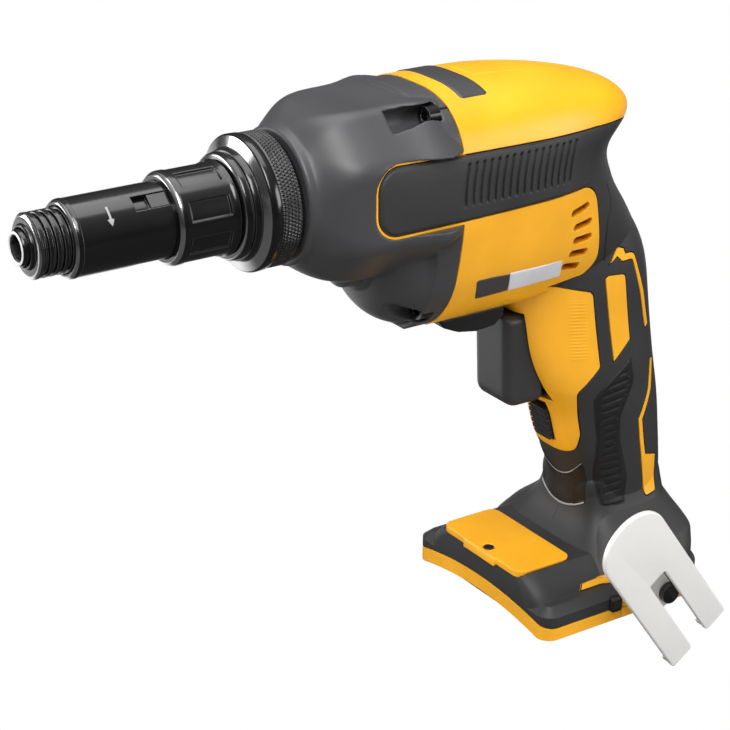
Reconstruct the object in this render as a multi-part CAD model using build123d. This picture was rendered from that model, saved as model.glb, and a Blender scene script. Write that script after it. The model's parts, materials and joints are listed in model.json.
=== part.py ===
from build123d import *
import math
import os

os.makedirs("parts", exist_ok=True)

# Driving sizes in millimetres: the nose points along -X, the foot rests on Z = 0
axis_z = 158.0            # height of the spindle axis
gear_module = 0.8
pinion_teeth = 9
spindle_teeth = 46
gear_width = 10.0
motor_z = axis_z - gear_module * (pinion_teeth + spindle_teeth) / 2
tip_x = -200.0            # front of the bit spindle
case_front_x = -117.6     # front ring of the gear case
case_rear_x = -69.0       # joint between gear case and housing
foot_front_x = -37.4
foot_rear_x = 36.0
foot_half_w = 36.5
wall = 3.2                # housing wall with its skin
skin = 1.3                # thickness of the soft grip skin
lip_h = 4.2               # hard lip left bare along the foot
run_gap = 0.05            # radial clearance of a running fit
free_gap = 0.35           # clearance between parts that do not touch
groove = 0.45             # dark line round the grip skin

# Turned parts and prisms
def turned(profile, z=axis_z):
    face = make_face(Plane.XZ * Polyline(*[(x, z + r) for x, r in profile], close=True))
    return revolve(face, axis=Axis((0, 0, z), (1, 0, 0)))


def ring(x0, x1, outer, inner=0.0, z=axis_z):
    return turned([(x0, inner), (x1, inner), (x1, outer), (x0, outer)], z)


def rod(x0, x1, radius, y=0.0, z=axis_z):
    return Pos((x0 + x1) / 2, y, z) * Rot(0, 90, 0) * Cylinder(radius, x1 - x0)


def cross_rod(y0, y1, radius, x, z):
    return Pos(x, (y0 + y1) / 2, z) * Rot(90, 0, 0) * Cylinder(radius, y1 - y0)


def post(z0, z1, radius, x, y):
    return Pos(x, y, (z0 + z1) / 2) * Cylinder(radius, z1 - z0)


def block(x0, x1, y0, y1, z0, z1):
    return Pos((x0 + x1) / 2, (y0 + y1) / 2, (z0 + z1) / 2) * Box(x1 - x0, y1 - y0, z1 - z0)


# Closed outline from corners (u, v) or (u, v, radius of the rounded corner)
def soft_edges(corners):
    stops = []
    for i, (u, v, *radius) in enumerate(corners):
        here = Vector(u, v)
        if not radius:
            stops.append((here, None, here))
            continue
        back = (Vector(*corners[i - 1][:2]) - here).normalized()
        ahead = (Vector(*corners[(i + 1) % len(corners)][:2]) - here).normalized()
        half = math.radians(back.get_angle(ahead)) / 2
        reach = radius[0] / math.tan(half)
        mid = here + (back + ahead).normalized() * (radius[0] / math.sin(half) - radius[0])
        stops.append((here + back * reach, mid, here + ahead * reach))
    edges = []
    for (start, mid, end), (following, *_) in zip(stops, stops[1:] + stops[:1]):
        if mid:
            edges.append(ThreePointArc(start, mid, end))
        edges.append(Line(end, following))
    return edges


def side_prism(outline, y_low, y_high, grow=0.0):
    face = make_face([Plane.XZ.offset(-y_high) * edge for edge in soft_edges(outline)])
    if grow:
        face = offset(face, amount=grow, kind=Kind.INTERSECTION)
    return extrude(face, y_high - y_low, dir=(0, -1, 0))


def hex_bar(x0, x1, across_flats):
    bar = Plane.YZ.offset(x0) * Pos(0, axis_z) * RegularPolygon(across_flats / math.sqrt(3), 6)
    return extrude(bar, x1 - x0)


def mirrored(shape):
    return mirror(shape, about=Plane.XZ)


def joined(shapes):
    return Part() + list(shapes)


# Spur gear with involute flanks, thinned for backlash
def gear(teeth, shift, addendum, x0, x1, z, tooth_angle, backlash=0.06, dedendum=1.25, angle=20.0):
    alpha = math.radians(angle)
    pitch_r = gear_module * teeth / 2
    base_r = pitch_r * math.cos(alpha)
    tip_r = pitch_r + gear_module * addendum
    root_r = pitch_r - gear_module * (dedendum - shift)
    half_pitch = (math.pi / 4 + shift * math.tan(alpha)) / (teeth / 2) - backlash / (2 * pitch_r)
    inv_pitch = math.tan(alpha) - alpha

    def half_angle(r):
        pressure = math.acos(min(1.0, base_r / r))
        return half_pitch + inv_pitch - (math.tan(pressure) - pressure)

    start_r = max(base_r, root_r)
    radii = [start_r + (tip_r - start_r) * i / 4 for i in range(5)]
    flank = [(r, half_angle(r)) for r in radii]
    if root_r < base_r:
        flank.insert(0, (root_r, half_angle(base_r)))
    points = []
    for i in range(teeth):
        mid = tooth_angle + 2 * math.pi * i / teeth
        points += [(r * math.cos(mid - a), r * math.sin(mid - a)) for r, a in flank]
        points += [(r * math.cos(mid + a), r * math.sin(mid + a)) for r, a in reversed(flank)]
    face = make_face(Plane.YZ.offset(x0) * Pos(0, z) * Polyline(*points, close=True))
    return extrude(face, x1 - x0, dir=(1, 0, 0))


# Smooth plan outline: square towards the front, rounder towards the rear
def plan_outline(z, front, mid, rear, half_w, n_front, n_rear, count=32):
    points = []
    for i in range(count):
        a = 2 * math.pi * i / count
        c, s = math.cos(a), math.sin(a)
        reach, n = (rear - mid, n_rear) if c > 0 else (mid - front, n_front)
        x = mid + math.copysign(reach * abs(c) ** (2 / n), c)
        y = math.copysign(half_w * abs(s) ** (2 / n), s)
        points.append((x, y))
    return make_face(Plane.XY.offset(z) * Spline(*points, periodic=True))


# Housing levels: height, rear end, half width
body_levels = [
    (110.3, 20.0, 10.0), (113.0, 21.0, 14.5), (117.0, 21.0, 18.7), (123.0, 19.6, 22.6),
    (130.0, 15.6, 25.6), (137.0, 11.0, 27.2), (144.0, 6.0, 28.4), (151.0, 2.6, 28.9),
    (157.0, 1.3, 29.0), (162.0, 3.8, 28.9), (166.0, 8.0, 28.6), (170.0, 9.8, 27.8),
    (174.0, 7.2, 26.3), (178.0, 0.5, 23.8), (180.0, -5.9, 21.8), (181.8, -13.6, 19.5),
    (183.2, -21.5, 16.9), (184.2, -28.6, 14.2), (184.9, -34.8, 11.5), (185.35, -39.8, 8.8),
    (185.6, -43.4, 6.2), (185.7, -45.6, 4.2),
]
body_front_x = -122.0
body_mid_x = -50.0

# Handle levels: height, front, rear, half width, squareness of the front
grip_levels = [
    (22.0, -4.6, 33.4, 16.6, 2.7), (30.0, -4.4, 33.3, 16.4, 2.7), (38.0, -4.8, 33.2, 16.2, 2.7),
    (45.0, -7.0, 32.8, 16.2, 2.7), (52.0, -10.6, 32.2, 16.3, 2.7), (59.0, -13.0, 31.3, 16.7, 2.7),
    (67.0, -15.4, 30.1, 17.0, 2.8), (76.0, -21.0, 28.5, 17.2, 3.2),
    (86.0, -26.2, 26.8, 17.3, 3.4), (96.0, -29.4, 25.2, 17.4, 3.2),
    (106.0, -32.0, 23.6, 17.8, 2.8), (116.0, -35.0, 21.6, 18.2, 2.7),
    (126.0, -36.0, 17.6, 17.6, 2.7), (136.0, -34.0, 11.0, 14.5, 2.7), (146.0, -32.0, 4.2, 10.0, 2.7),
]

# Foot dome levels: height, front, rear, half width
dome_levels = [
    (8.0, -15.5, 34.6, 34.0), (13.5, -14.0, 34.4, 31.4), (19.0, -9.0, 33.9, 26.0),
    (24.5, -5.0, 33.4, 20.6), (30.0, -3.4, 33.0, 17.2), (37.0, -3.6, 32.2, 15.2),
]
foot_corner_r = 5.0
foot_rear_r = 17.0
foot_base_h = 11.0
foot_slope_h = 2.6          # sloped shoulder round the foot
foot_slope_w = 3.2
crown_mid_x = foot_front_x + 17.1
crown_corner_r = 6.0
crown_levels = [
    (4.0, 34.2, 32.0), (9.0, 34.2, 31.2), (12.5, 34.1, 29.4), (15.5, 33.8, 26.4),
    (17.4, 33.4, 23.6), (18.3, 32.8, 22.0),
]


def stretched(z, low, high, inset):
    middle_z = (low + high) / 2
    half = (high - low) / 2
    return middle_z + (z - middle_z) * (half - inset) / half


def body_solid(inset):
    low, high = body_levels[0][0], body_levels[-1][0]
    faces = []
    for z, rear, half_w in body_levels:
        level = stretched(z, low, high, inset)
        faces.append(plan_outline(level, body_front_x, body_mid_x, rear - inset,
                                  max(half_w - inset, 1.2), 5.0, 2.3))
    return loft(faces)


def grip_solid(inset):
    faces = []
    for z, front, rear, half_w, square in grip_levels:
        mid = (front + rear) / 2
        faces.append(plan_outline(z, front + inset, mid, rear - inset, half_w - inset, square, 2.5))
    return loft(faces)


def crown_solid(inset):
    faces = []
    for i, (z, length, half_w) in enumerate(crown_levels):
        level = z if i == 0 else z - inset
        plan = RectangleRounded(length - 2 * inset, 2 * (half_w - inset), crown_corner_r)
        faces.append(Pos(crown_mid_x, 0, level) * plan)
    return loft(faces)


def foot_plan(inset, z):
    x0, x1 = foot_front_x + inset, foot_rear_x - inset
    plan = Pos((x0 + x1) / 2, 0) * Rectangle(x1 - x0, 2 * (foot_half_w - inset))
    plan = fillet(plan.vertices().sort_by(Axis.X)[:2], max(foot_corner_r - inset, 1.0))
    plan = fillet(plan.vertices().sort_by(Axis.X)[-2:], foot_rear_r - inset)
    return Pos(0, 0, z) * plan


def foot_solid(inset):
    shoulder_z = foot_base_h - inset - foot_slope_h
    base = extrude(foot_plan(inset, 0.0), shoulder_z)
    slope_top = foot_plan(inset + foot_slope_w, foot_base_h - inset)
    slope = loft([foot_plan(inset, shoulder_z), slope_top], ruled=True)
    faces = []
    for z, front, rear, half_w in dome_levels:
        mid = (front + rear) / 2
        faces.append(plan_outline(z, front + inset, mid, rear - inset, half_w - inset, 4.5, 3.4))
    return joined([base, slope, crown_solid(inset), loft(faces)])


# Side tongue of the housing, lying over the gear case
case_body_r = 26.0
tongue_outline = [(-60.0, 170.6), (-100.0, 171.1, 8.3), (-100.0, 148.3, 7.7), (-60.0, 148.7)]
tongue_zone = side_prism(tongue_outline, -40.0, -10.0) - rod(-130.0, -50.0, case_body_r)


def tool_solid(inset, with_tongue):
    keep = block(case_rear_x, 60, -60, 60, 90, 200)
    if with_tongue:
        keep = keep + [tongue_zone, mirrored(tongue_zone)]
    return (body_solid(inset) & keep) + [grip_solid(inset), foot_solid(inset)]


outer = tool_solid(0.0, True)
middle = tool_solid(skin, True)
inner = tool_solid(wall, False)
left_side = block(-130, 60, -60, 0, -30, 200)

# Gear case: round body, lower pinion boss, chin and rear flange
flange_inset = 0.2
chin_x = -66.0
chin_reach = 25.0
chin_square = 2.8
chin_r = 26.4


def chin_solid(inset):
    reach, radius = chin_reach - inset, chin_r - inset
    front = chin_x - reach
    curve = []
    for i in range(9):
        x = front + (case_rear_x - front) * (i / 8) ** 2
        inside = max(0.0, 1 - (abs(x - chin_x) / reach) ** chin_square)
        curve.append((x, motor_z + radius * inside ** (1 / chin_square)))
    edges = Spline(*curve) + Polyline(curve[-1], (case_rear_x, motor_z), curve[0])
    return revolve(make_face(Plane.XZ * edges), axis=Axis((0, 0, motor_z), (1, 0, 0)))


spigot_r = 14.2
spigot_front_x = case_front_x - 13.4
bush_r = 12.0
bush_rear_x = case_front_x - 1.9
front_seat_r = 11.0
front_seat_x = case_front_x + 5.6
boss_front_x = -97.4
plate_front_x = case_rear_x - 4.0
small_bearing_r = 8.0
pinion_seat_x = boss_front_x + 3.1
cast_wall = 3.2
front_rim = turned([
    (case_front_x, 0.0), (case_front_x, 20.2), (case_front_x + 0.7, 20.9), (case_front_x + 3.4, 21.3),
    (case_front_x + 3.4, 0.0),
])
# Sections behind the rim: distance from the rim, half width, half height, corner cut, corner radius
case_sections = [
    (3.2, 21.3, 21.3, 12.4, 19.5), (7.0, 24.0, 23.9, 13.2, 15.0), (11.5, 26.8, 25.4, 13.6, 10.0),
    (17.0, 28.2, 26.0, 13.6, 7.0), (28.0, 28.6, 26.2, 13.4, 6.0),
    (case_rear_x - case_front_x, 28.7, 25.4, 13.4, 6.0),
]


def case_face(depth, half_w, half_h, cut, radius):
    right = [(half_w, cut - half_h), (half_w, half_h - cut), (half_w - cut, half_h)]
    left = [(cut - half_w, half_h), (-half_w, half_h - cut), (-half_w, cut - half_h)]
    corners = [*right, *left, (cut - half_w, -half_h), (half_w - cut, -half_h)]
    edges = soft_edges([(y, axis_z + z, radius) for y, z in corners])
    return make_face([Plane.YZ.offset(case_front_x + depth) * edge for edge in edges])


main_body = loft([case_face(*section) for section in case_sections])
flange_cone = turned([
    (case_rear_x - 9.4, 0.0), (case_rear_x - 9.4, 24.0),
    (case_rear_x - 8.4, 30.0), (case_rear_x - 8.4, 62.0),
    (case_rear_x, 62.0), (case_rear_x, 0.0),
])
rear_flange = body_solid(flange_inset) & flange_cone
pinion_boss = turned([
    (boss_front_x, 0.0), (boss_front_x, 8.4), (boss_front_x + 1.8, 10.6), (boss_front_x + 6.0, 10.9),
    (boss_front_x + 6.4, 12.2), (-70.0, 12.4), (-70.0, 0.0),
], motor_z)
spigot = ring(spigot_front_x, case_front_x + 1, spigot_r)
plate_shape = joined([
    rod(plate_front_x, case_rear_x, 21.6), rod(plate_front_x, case_rear_x, 22.4, z=motor_z),
    block(plate_front_x, case_rear_x, -21.6, 21.6, motor_z, axis_z),
])
gear_case = joined([front_rim, main_body, spigot, pinion_boss, chin_solid(0.0), rear_flange])
gear_case = gear_case - [
    rod(case_front_x + 13.0, -70, 20.6), rod(pinion_seat_x + 4.1, -70, 7.0, z=motor_z), plate_shape,
    chin_solid(cast_wall) & block(-88, -60, -40, 40, 90, motor_z),
]
gear_case = gear_case - [
    rod(front_seat_x, -100, front_seat_r), rod(-140, front_seat_x + 2, 8.6), rod(-140, bush_rear_x, bush_r),
    rod(pinion_seat_x, -86, small_bearing_r, z=motor_z), tongue_zone, mirrored(tongue_zone),
]
case_screw_places = [(-17.8, 180.0), (17.8, 180.0), (-15.4, 118.6), (15.4, 118.6)]
screw_head_x = case_rear_x - 3.6
screw_end_x = case_rear_x + 8.0
screw_head_r, screw_head_h, screw_shank_r = 3.1, 4.0, 2.0
screw_pocket_r = 4.0
screw_thread_r = screw_shank_r + run_gap
gear_case_screws = Part()
case_screw_cuts = []
for y, z in case_screw_places:
    case_screw_cuts += [rod(-90, screw_head_x, screw_pocket_r, y, z), rod(-80, -60, screw_thread_r, y, z)]
    key = Plane.YZ.offset(screw_head_x - screw_head_h) * Pos(y, z) * RegularPolygon(1.9, 6)
    head = rod(screw_head_x - screw_head_h, screw_head_x, screw_head_r, y, z) - extrude(key, 2.2)
    gear_case_screws = gear_case_screws + [head, rod(screw_head_x, screw_end_x, screw_shank_r, y, z)]
gear_case = gear_case - case_screw_cuts
spindle_bearing_r = 8.5
bearing_plate = plate_shape + rod(plate_front_x, case_rear_x + 2.5, 10.5, z=motor_z)
bearing_plate = bearing_plate - [rod(-80, -60, small_bearing_r, z=motor_z), rod(-80, -60, spindle_bearing_r)]
screw_room = 0.4
for y, z in case_screw_places:
    bearing_plate = bearing_plate - [
        rod(-80, -60, screw_shank_r + screw_room, y, z),
        rod(-80, screw_head_x + screw_room, screw_head_r + screw_room, y, z),
    ]

# Spindle, its gear and bearings
shaft_hex = 7.0
socket_hex = 6.55
shaft_front_r, shaft_mid_r, shaft_rear_r = 5.0, 6.0, 4.0
hex_front_x = case_front_x - 8.4
spindle_rear_x = case_front_x - 0.4
front_seat_end_x = front_seat_x + 7.0
spindle_front_bearing = ring(front_seat_x, front_seat_end_x, front_seat_r, shaft_front_r + run_gap)
spindle_rear_bearing = ring(plate_front_x, case_rear_x, spindle_bearing_r, shaft_rear_r + run_gap)
shaft_shoulder_x = front_seat_x - 0.6
drive_shaft = turned([
    (shaft_shoulder_x, 0.0), (shaft_shoulder_x, shaft_front_r), (front_seat_end_x + 0.2, shaft_front_r),
    (front_seat_end_x + 0.2, shaft_mid_r), (plate_front_x - 0.2, shaft_mid_r),
    (plate_front_x - 0.2, shaft_rear_r),
    (case_rear_x + 0.5, shaft_rear_r), (case_rear_x + 0.5, 0.0),
]) + hex_bar(hex_front_x, shaft_shoulder_x, shaft_hex)
gear_front_x = plate_front_x - 4.0 - gear_width
gear_gap_angle = -math.pi / 2 + math.pi / spindle_teeth
spindle_gear = gear(spindle_teeth, -0.4, 0.5, gear_front_x, gear_front_x + gear_width, axis_z, gear_gap_angle)
gear_hole_r, gear_hole_ring = 3.4, 11.4
gear_cuts = [rod(-100, -70, shaft_mid_r)]
for i in range(6):
    a = math.pi / 3 * i
    y, z = gear_hole_ring * math.cos(a), axis_z + gear_hole_ring * math.sin(a)
    gear_cuts.append(rod(-100, -70, gear_hole_r, y, z))
spindle_gear = spindle_gear - gear_cuts
nose_r, spindle_r = 5.2, 6.5
socket_depth = 24.0
hex_hole_x = hex_front_x - 10.0
magnet_r, magnet_len = 3.0, 2.8
socket_end_x = tip_x + socket_depth
magnet_end_x = socket_end_x + 0.2 + magnet_len
bit_spindle = turned([
    (tip_x, 0.0), (tip_x, nose_r - 0.5), (tip_x + 0.6, nose_r),
    (socket_end_x, nose_r), (socket_end_x, spindle_r),
    (spindle_rear_x, spindle_r), (spindle_rear_x, 0.0),
])
bit_spindle = bit_spindle - [
    hex_bar(tip_x - 1, socket_end_x, socket_hex), hex_bar(hex_hole_x, -110, shaft_hex + 0.12),
    turned([(tip_x, 0.0), (tip_x, 4.1), (tip_x + 1.4, 3.4), (tip_x + 1.4, 0.0)]),
    rod(socket_end_x - 4, magnet_end_x, magnet_r),
]
bit_magnet = rod(socket_end_x + 0.2, magnet_end_x, magnet_r)
nose_bush = ring(bush_rear_x - 11.0, bush_rear_x, bush_r, spindle_r + run_gap)
spring_turns = 6
spring_r = 2.6
spring_wire = 0.45


def coil(x0, x1, radius, wire_r, turns, z):
    pitch = (x1 - x0 - 2 * wire_r) / turns
    path = Helix(pitch, pitch * turns, radius)
    wire = Plane(path @ 0, z_dir=path % 0) * Circle(wire_r)
    return Pos(x0 + wire_r, 0, z) * Rot(0, 90, 0) * sweep(wire, path=path)


clutch_spring = coil(hex_hole_x + run_gap, hex_front_x - run_gap, spring_r, spring_wire, spring_turns, axis_z)

# Nose: barrel, locator, collar and lock ring
barrel_r = 11.3
barrel_bore_r = 9.7
barrel_front_x = tip_x + 13.4
barrel_stop_x = spigot_front_x - 3.0
collar_rear_x = spigot_front_x - 5.4
collar_front_x = collar_rear_x - 19.0
collar_r = 13.8
nose_barrel = turned([
    (barrel_front_x, barrel_bore_r), (barrel_front_x, barrel_r - 0.9), (barrel_front_x + 1.2, barrel_r),
    (barrel_stop_x, barrel_r), (barrel_stop_x, 14.0), (spigot_front_x, 14.0), (spigot_front_x, barrel_bore_r),
])
key_slot_half = 2.5
key_places = [math.radians(128), math.radians(250)]


def around_axis(shape, angle):
    return Pos(0, 0, axis_z) * Rot(math.degrees(angle), 0, 0) * shape


locator_rear_x = collar_front_x + 0.4
key_half = key_slot_half - 0.3
key_slot = block(locator_rear_x - 12.0, locator_rear_x + 7.0, 5.0, 13.0, -key_slot_half, key_slot_half)
locator_key = block(locator_rear_x - 7.0, locator_rear_x, 8.2, 10.8, -key_half, key_half)
locator_r = 9.4
locator_front_x = tip_x + 3.1
locator_seat_x = locator_front_x + 18.9
thread_pitch = 2.3
thread_root_r = 8.5
thread_front_x = locator_front_x + 1.0
locator_profile = [(locator_front_x, 5.6), (locator_front_x, 8.3), (locator_front_x + 0.7, locator_r)]
for i in range(4):
    crest = thread_front_x + thread_pitch * i
    locator_profile += [(crest + 0.9, locator_r), (crest + 1.25, thread_root_r)]
    locator_profile += [(crest + 1.75, thread_root_r), (crest + 2.1, locator_r)]
locator_profile += [
    (locator_seat_x, locator_r), (locator_seat_x, barrel_bore_r - run_gap),
    (locator_rear_x, barrel_bore_r - run_gap), (locator_rear_x, 7.4), (tip_x + 10, 7.4), (tip_x + 10, 5.6),
]
depth_locator = turned(locator_profile)
for angle in key_places:
    nose_barrel = nose_barrel - around_axis(key_slot, angle)
    depth_locator = depth_locator + around_axis(locator_key, angle)
depth_collar = turned([
    (collar_front_x, barrel_r + run_gap), (collar_front_x, collar_r - 1.0), (collar_front_x + 1.0, collar_r),
    (collar_rear_x - 1.2, collar_r), (collar_rear_x, collar_r + 0.5), (collar_rear_x, barrel_r + run_gap),
])
panel_count = 8
panel_depth = 0.7
panel = block(collar_front_x + 3.5, collar_rear_x - 2.6, collar_r - panel_depth, collar_r + 3, -3.1, 3.1)
panel_angles = [2 * math.pi * (i + 0.5) / panel_count for i in range(panel_count)]
depth_collar = depth_collar - [around_axis(panel, angle) for angle in panel_angles]
ring_bore_r = spigot_r + run_gap
ring_lip_r = barrel_r + free_gap
ring_lip_x = barrel_stop_x - 0.3
ring_x = spigot_front_x
lock_ring = turned([
    (ring_x - 4.8, ring_lip_r), (ring_x - 4.8, 15.4), (ring_x - 4.2, 16.0), (ring_x - 2.4, 16.0),
    (ring_x - 2.0, 16.6), (ring_x + 0.2, 16.6), (ring_x + 0.2, 20.0),
    (ring_x + 0.7, 20.4), (ring_x + 4.0, 20.4),
    (ring_x + 4.4, 20.0), (ring_x + 11.6, 20.0), (ring_x + 12.4, 19.2), (ring_x + 12.4, ring_bore_r),
    (ring_lip_x, ring_bore_r), (ring_lip_x, ring_lip_r),
])

# Motor on the lower axis
rotor_r = 10.8
stator_r = 21.8
stator_x0, stator_x1 = -60.0, -34.0
motor_shaft_r = 2.5
motor_shaft = rod(pinion_seat_x + 0.3, -9.2, motor_shaft_r, z=motor_z)
pinion = gear(pinion_teeth, 0.4, 1.4, gear_front_x - 0.8, gear_front_x + gear_width + 1, motor_z, math.pi / 2)
pinion = pinion - rod(-100, -70, motor_shaft_r, z=motor_z)
rotor_core = ring(stator_x0, stator_x1, rotor_r, motor_shaft_r, motor_z)
slot_count = 6
coil_overhang = 3.5
coil_in_r, coil_out_r, coil_half_w = 12.4, 18.6, 4.2
stator_slots = []
bundles = []
for i in range(slot_count):
    turn = Pos(0, 0, motor_z) * Rot(360 / slot_count * i, 0, 0)
    stator_slots.append(turn * block(-70, -20, coil_in_r, coil_out_r, -coil_half_w, coil_half_w))
    bundles.append(turn * block(stator_x0 - coil_overhang, stator_x1 + coil_overhang, coil_in_r, coil_out_r,
                                -coil_half_w, coil_half_w))
stator = ring(stator_x0, stator_x1, stator_r, rotor_r + 0.4, motor_z) - stator_slots
windings = joined(bundles + [
    ring(stator_x0 - coil_overhang, stator_x0, coil_out_r, coil_in_r, motor_z),
    ring(stator_x1, stator_x1 + coil_overhang, coil_out_r, coil_in_r, motor_z),
])
fan_r, fan_hub_r = 18.6, 6.0
fan_x0, fan_x1 = -28.0, -19.5
fan_plate = 1.6
blade_count = 11
blade = block(fan_x0, fan_x1 - fan_plate / 2, fan_hub_r - 0.5, fan_r - 0.4, -0.6, 0.6)
blades = [Pos(0, 0, motor_z) * Rot(360 / blade_count * i, 0, 0) * blade for i in range(blade_count)]
cooling_fan = joined(blades + [
    ring(fan_x1 - fan_plate, fan_x1, fan_r, motor_shaft_r, motor_z),
    ring(fan_x0, fan_x1, fan_hub_r, motor_shaft_r, motor_z),
])
bearing_bore_r = motor_shaft_r + run_gap
motor_front_bearing = ring(plate_front_x, plate_front_x + 5.0, small_bearing_r, bearing_bore_r, motor_z)
pinion_front_bearing = ring(pinion_seat_x, pinion_seat_x + 4.0, small_bearing_r, bearing_bore_r, motor_z)
motor_rear_bearing = ring(-13.0, -9.0, small_bearing_r, bearing_bore_r, motor_z)
end_plate_r = 17.0
motor_end_plate = ring(-16.5, -13.0, end_plate_r, 5.0, motor_z) + ring(-13.5, -8.0, 11.0, 5.0, motor_z)
motor_end_plate = motor_end_plate - rod(-13.0, -5, small_bearing_r, z=motor_z)

# Openings of the housing shells
trigger_gap = block(-50, -12.6, -9.4, 9.4, 71.6, 105.2)
selector_gap = block(-45.0, -36.0, -7.2, 7.2, 104.0, 118.0)
rear_slot = block(28, 60, -22.8, 22.8, -1, 8.1)


def front_prism(outline, length):
    face = make_face(Plane.YZ.offset(foot_front_x - 7.6) * Polyline(*outline, close=True))
    return extrude(face, length, dir=(1, 0, 0))


arch_h, lip_rise = 3.6, 4.4
arch = [(y, arch_h * (1 - (y / 32.0) ** 2)) for y in range(-32, 33, 4)]
arch_void = front_prism([(-32, -2), *arch, (32, -2)], 11.5)
lip_arch = [(y, lip_h + lip_rise * (1 - (y / 36.0) ** 2)) for y in range(-36, 37, 4)]
lip_zone = front_prism([(-45, -2), (-45, lip_h), *lip_arch, (45, lip_h), (45, -2)], 12.0)

# Lock-on slide on the front of the handle
slide_mid = (-13.4, 0.0, 60.4)
slide_lean = math.radians(74.0)
slide_dir = (-math.cos(slide_lean), 0, math.sin(slide_lean))
slide_out = (-math.sin(slide_lean), 0, -math.cos(slide_lean))
slide_frame = Plane(origin=slide_mid, x_dir=slide_dir, z_dir=slide_out)
slide_len, slide_w, slide_travel = 12.5, 9.6, 3.0
slide_slot = Box(slide_len + slide_travel + 0.8, slide_w + 0.8, 14)
slide_slot = slide_frame * Pos(slide_travel / 2, 0, 0) * slide_slot
lock_slide = Pos(0, 0, -1.3) * Box(slide_len, slide_w, 6.0)
lock_slide = fillet(lock_slide.edges().filter_by(Axis.Z), 2.0)
groove_pitch = 2.2
grooves = [Pos(groove_pitch * (i - 2), 0, 1.7) * Box(0.9, slide_w + 1, 1.2) for i in range(5)]
lock_slide = lock_slide - grooves + Pos(0, 0, -4.6) * Box(slide_len + 1.6, slide_w + 4.0, 2.0)
lock_slide = slide_frame * Pos(0, 0, -0.9) * lock_slide
slide_pocket = Box(slide_len + slide_travel + 3.2, slide_w + 5.2, 11.6)
slide_pocket = slide_frame * Pos(slide_travel / 2, 0, -9.3) * slide_pocket

vent_places = [(-22.4, 143.6), (-20.4, 138.2), (-19.8, 133.2), (-20.4, 128.4), (-22.2, 123.8)]
vents = []
for i, (x, z) in enumerate(vent_places):
    slot = Plane.XZ.offset(14) * Pos(x, z) * Rot(0, 0, 10 - 5 * i) * SlotOverall(8.6, 2.5)
    vents.append(extrude(slot, 20, dir=(0, -1, 0)))
openings = [trigger_gap, selector_gap, rear_slot, arch_void, slide_slot] + vents

# Soft grip skin over the side panel, hump, handle back and foot
grip_outline = [
    (-99.4, 170.5, 7.7), (-67.0, 170.0), (-36.7, 169.5), (-17.0, 169.2), (-4.0, 168.2), (6.0, 166.6),
    (20.0, 164.0), (60.0, 164.0), (60.0, lip_h), (-60.0, lip_h), (-60.0, 50.6), (-7.5, 50.2, 3.6),
    (-7.5, 58.8, 6.0), (-11.9, 75.6, 2.6), (-3.9, 83.4, 2.0), (-9.3, 110.8, 2.6), (-28.1, 116.8),
    (-8.8, 118.6, 6.4), (-15.2, 150.4, 8.0), (-69.9, 149.4), (-99.4, 148.9, 7.1),
]
grip_windows = [
    [(-4.4, 115.4, 1.2), (4.2, 114.4, 1.8), (8.5, 90.6, 1.0), (2.0, 84.4)],
    [(-2.4, 119.6), (0.6, 124.2, 1.2), (3.4, 123.2, 0.6), (4.2, 121.1, 0.5), (8.6, 120.8, 3.0),
     (15.3, 105.4), (18.8, 92.9), (17.0, 92.2), (13.4, 105.2), (8.0, 118.9, 2.0), (2.9, 119.2, 0.6),
     (0.4, 121.4)],
    [(20.8, 79.5), (19.3, 69.5), (15.0, 59.8), (17.4, 46.8), (19.8, 30.4, 0.9), (24.6, 31.0, 0.9),
     (25.2, 43.6), (19.4, 45.6), (16.6, 59.6), (20.8, 69.3), (22.2, 79.5)],
]


def grip_region(gap):
    cuts = [side_prism(outline, -60, -4, gap) for outline in grip_windows]
    return side_prism(grip_outline, -60, 0, -gap) - [*cuts, Pos(0, 0, gap) * lip_zone]


# Ribs that hold the inner parts, and screw bosses between the halves
switch_x0, switch_x1, switch_half_w, switch_z0, switch_z1 = -11.0, 14.0, 10.5, 82.0, 104.0
control_x0, control_x1, control_half_w, control_z0, control_z1 = 5.0, 18.0, 9.5, 38.0, 74.0
switch_body = block(switch_x0, switch_x1, -switch_half_w, switch_half_w, switch_z0, switch_z1)
controller = block(control_x0, control_x1, -control_half_w, control_half_w, control_z0, control_z1)
ribs = joined([
    block(-58, -55, -60, 0, 90, 170), block(-39, -36, -60, 0, 110.5, 170),
    block(-16.0, -13.5, -60, 0, 116.8, 162), block(-6, -3, -60, 0, 78, 108), block(-3, 60, -60, 0, 60, 63),
])
ribs = ribs - [
    rod(-70, -25, stator_r, z=motor_z), rod(-30, 0, end_plate_r, z=motor_z), selector_gap, slide_pocket,
    switch_body, controller,
]
boss_places = [(-58.0, 174.0), (-7.0, 169.0), (7.0, 128.0), (22.4, 78.0), (-2.0, 49.0), (24.0, 44.0)]
boss_r = 5.2
case_boss_r = 3.9
boss_end_x = screw_end_x + 0.5
bosses = [cross_rod(-40, 0, boss_r, x, z) for x, z in boss_places]
bosses += [rod(case_rear_x, boss_end_x, case_boss_r, y, z) for y, z in case_screw_places[::2]]
supports = (ribs + bosses) & inner
hook_screw_x, hook_screw_z, hook_screw_r = 12.4, 5.6, 2.0
hook_hole = cross_rod(-60, 60, hook_screw_r, hook_screw_x, hook_screw_z)
cover_screw = (foot_front_x + 2.8, -1.0)
cover_screw_r = 1.4
cover_screw_hole = post(8, 30, cover_screw_r + 0.1, *cover_screw)
case_threads = [rod(case_rear_x - 1, boss_end_x, screw_thread_r, y, z) for y, z in case_screw_places]
left_outer = outer & left_side
left_grip = (left_outer & grip_region(groove)) - middle - [*openings, hook_hole]
recess = (left_outer & grip_region(0.0)) - middle
left_housing = left_outer - inner - openings
left_housing = left_housing - recess + supports - [hook_hole, *case_threads]
right_housing = mirrored(left_housing)
right_grip = mirrored(left_grip)

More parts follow.
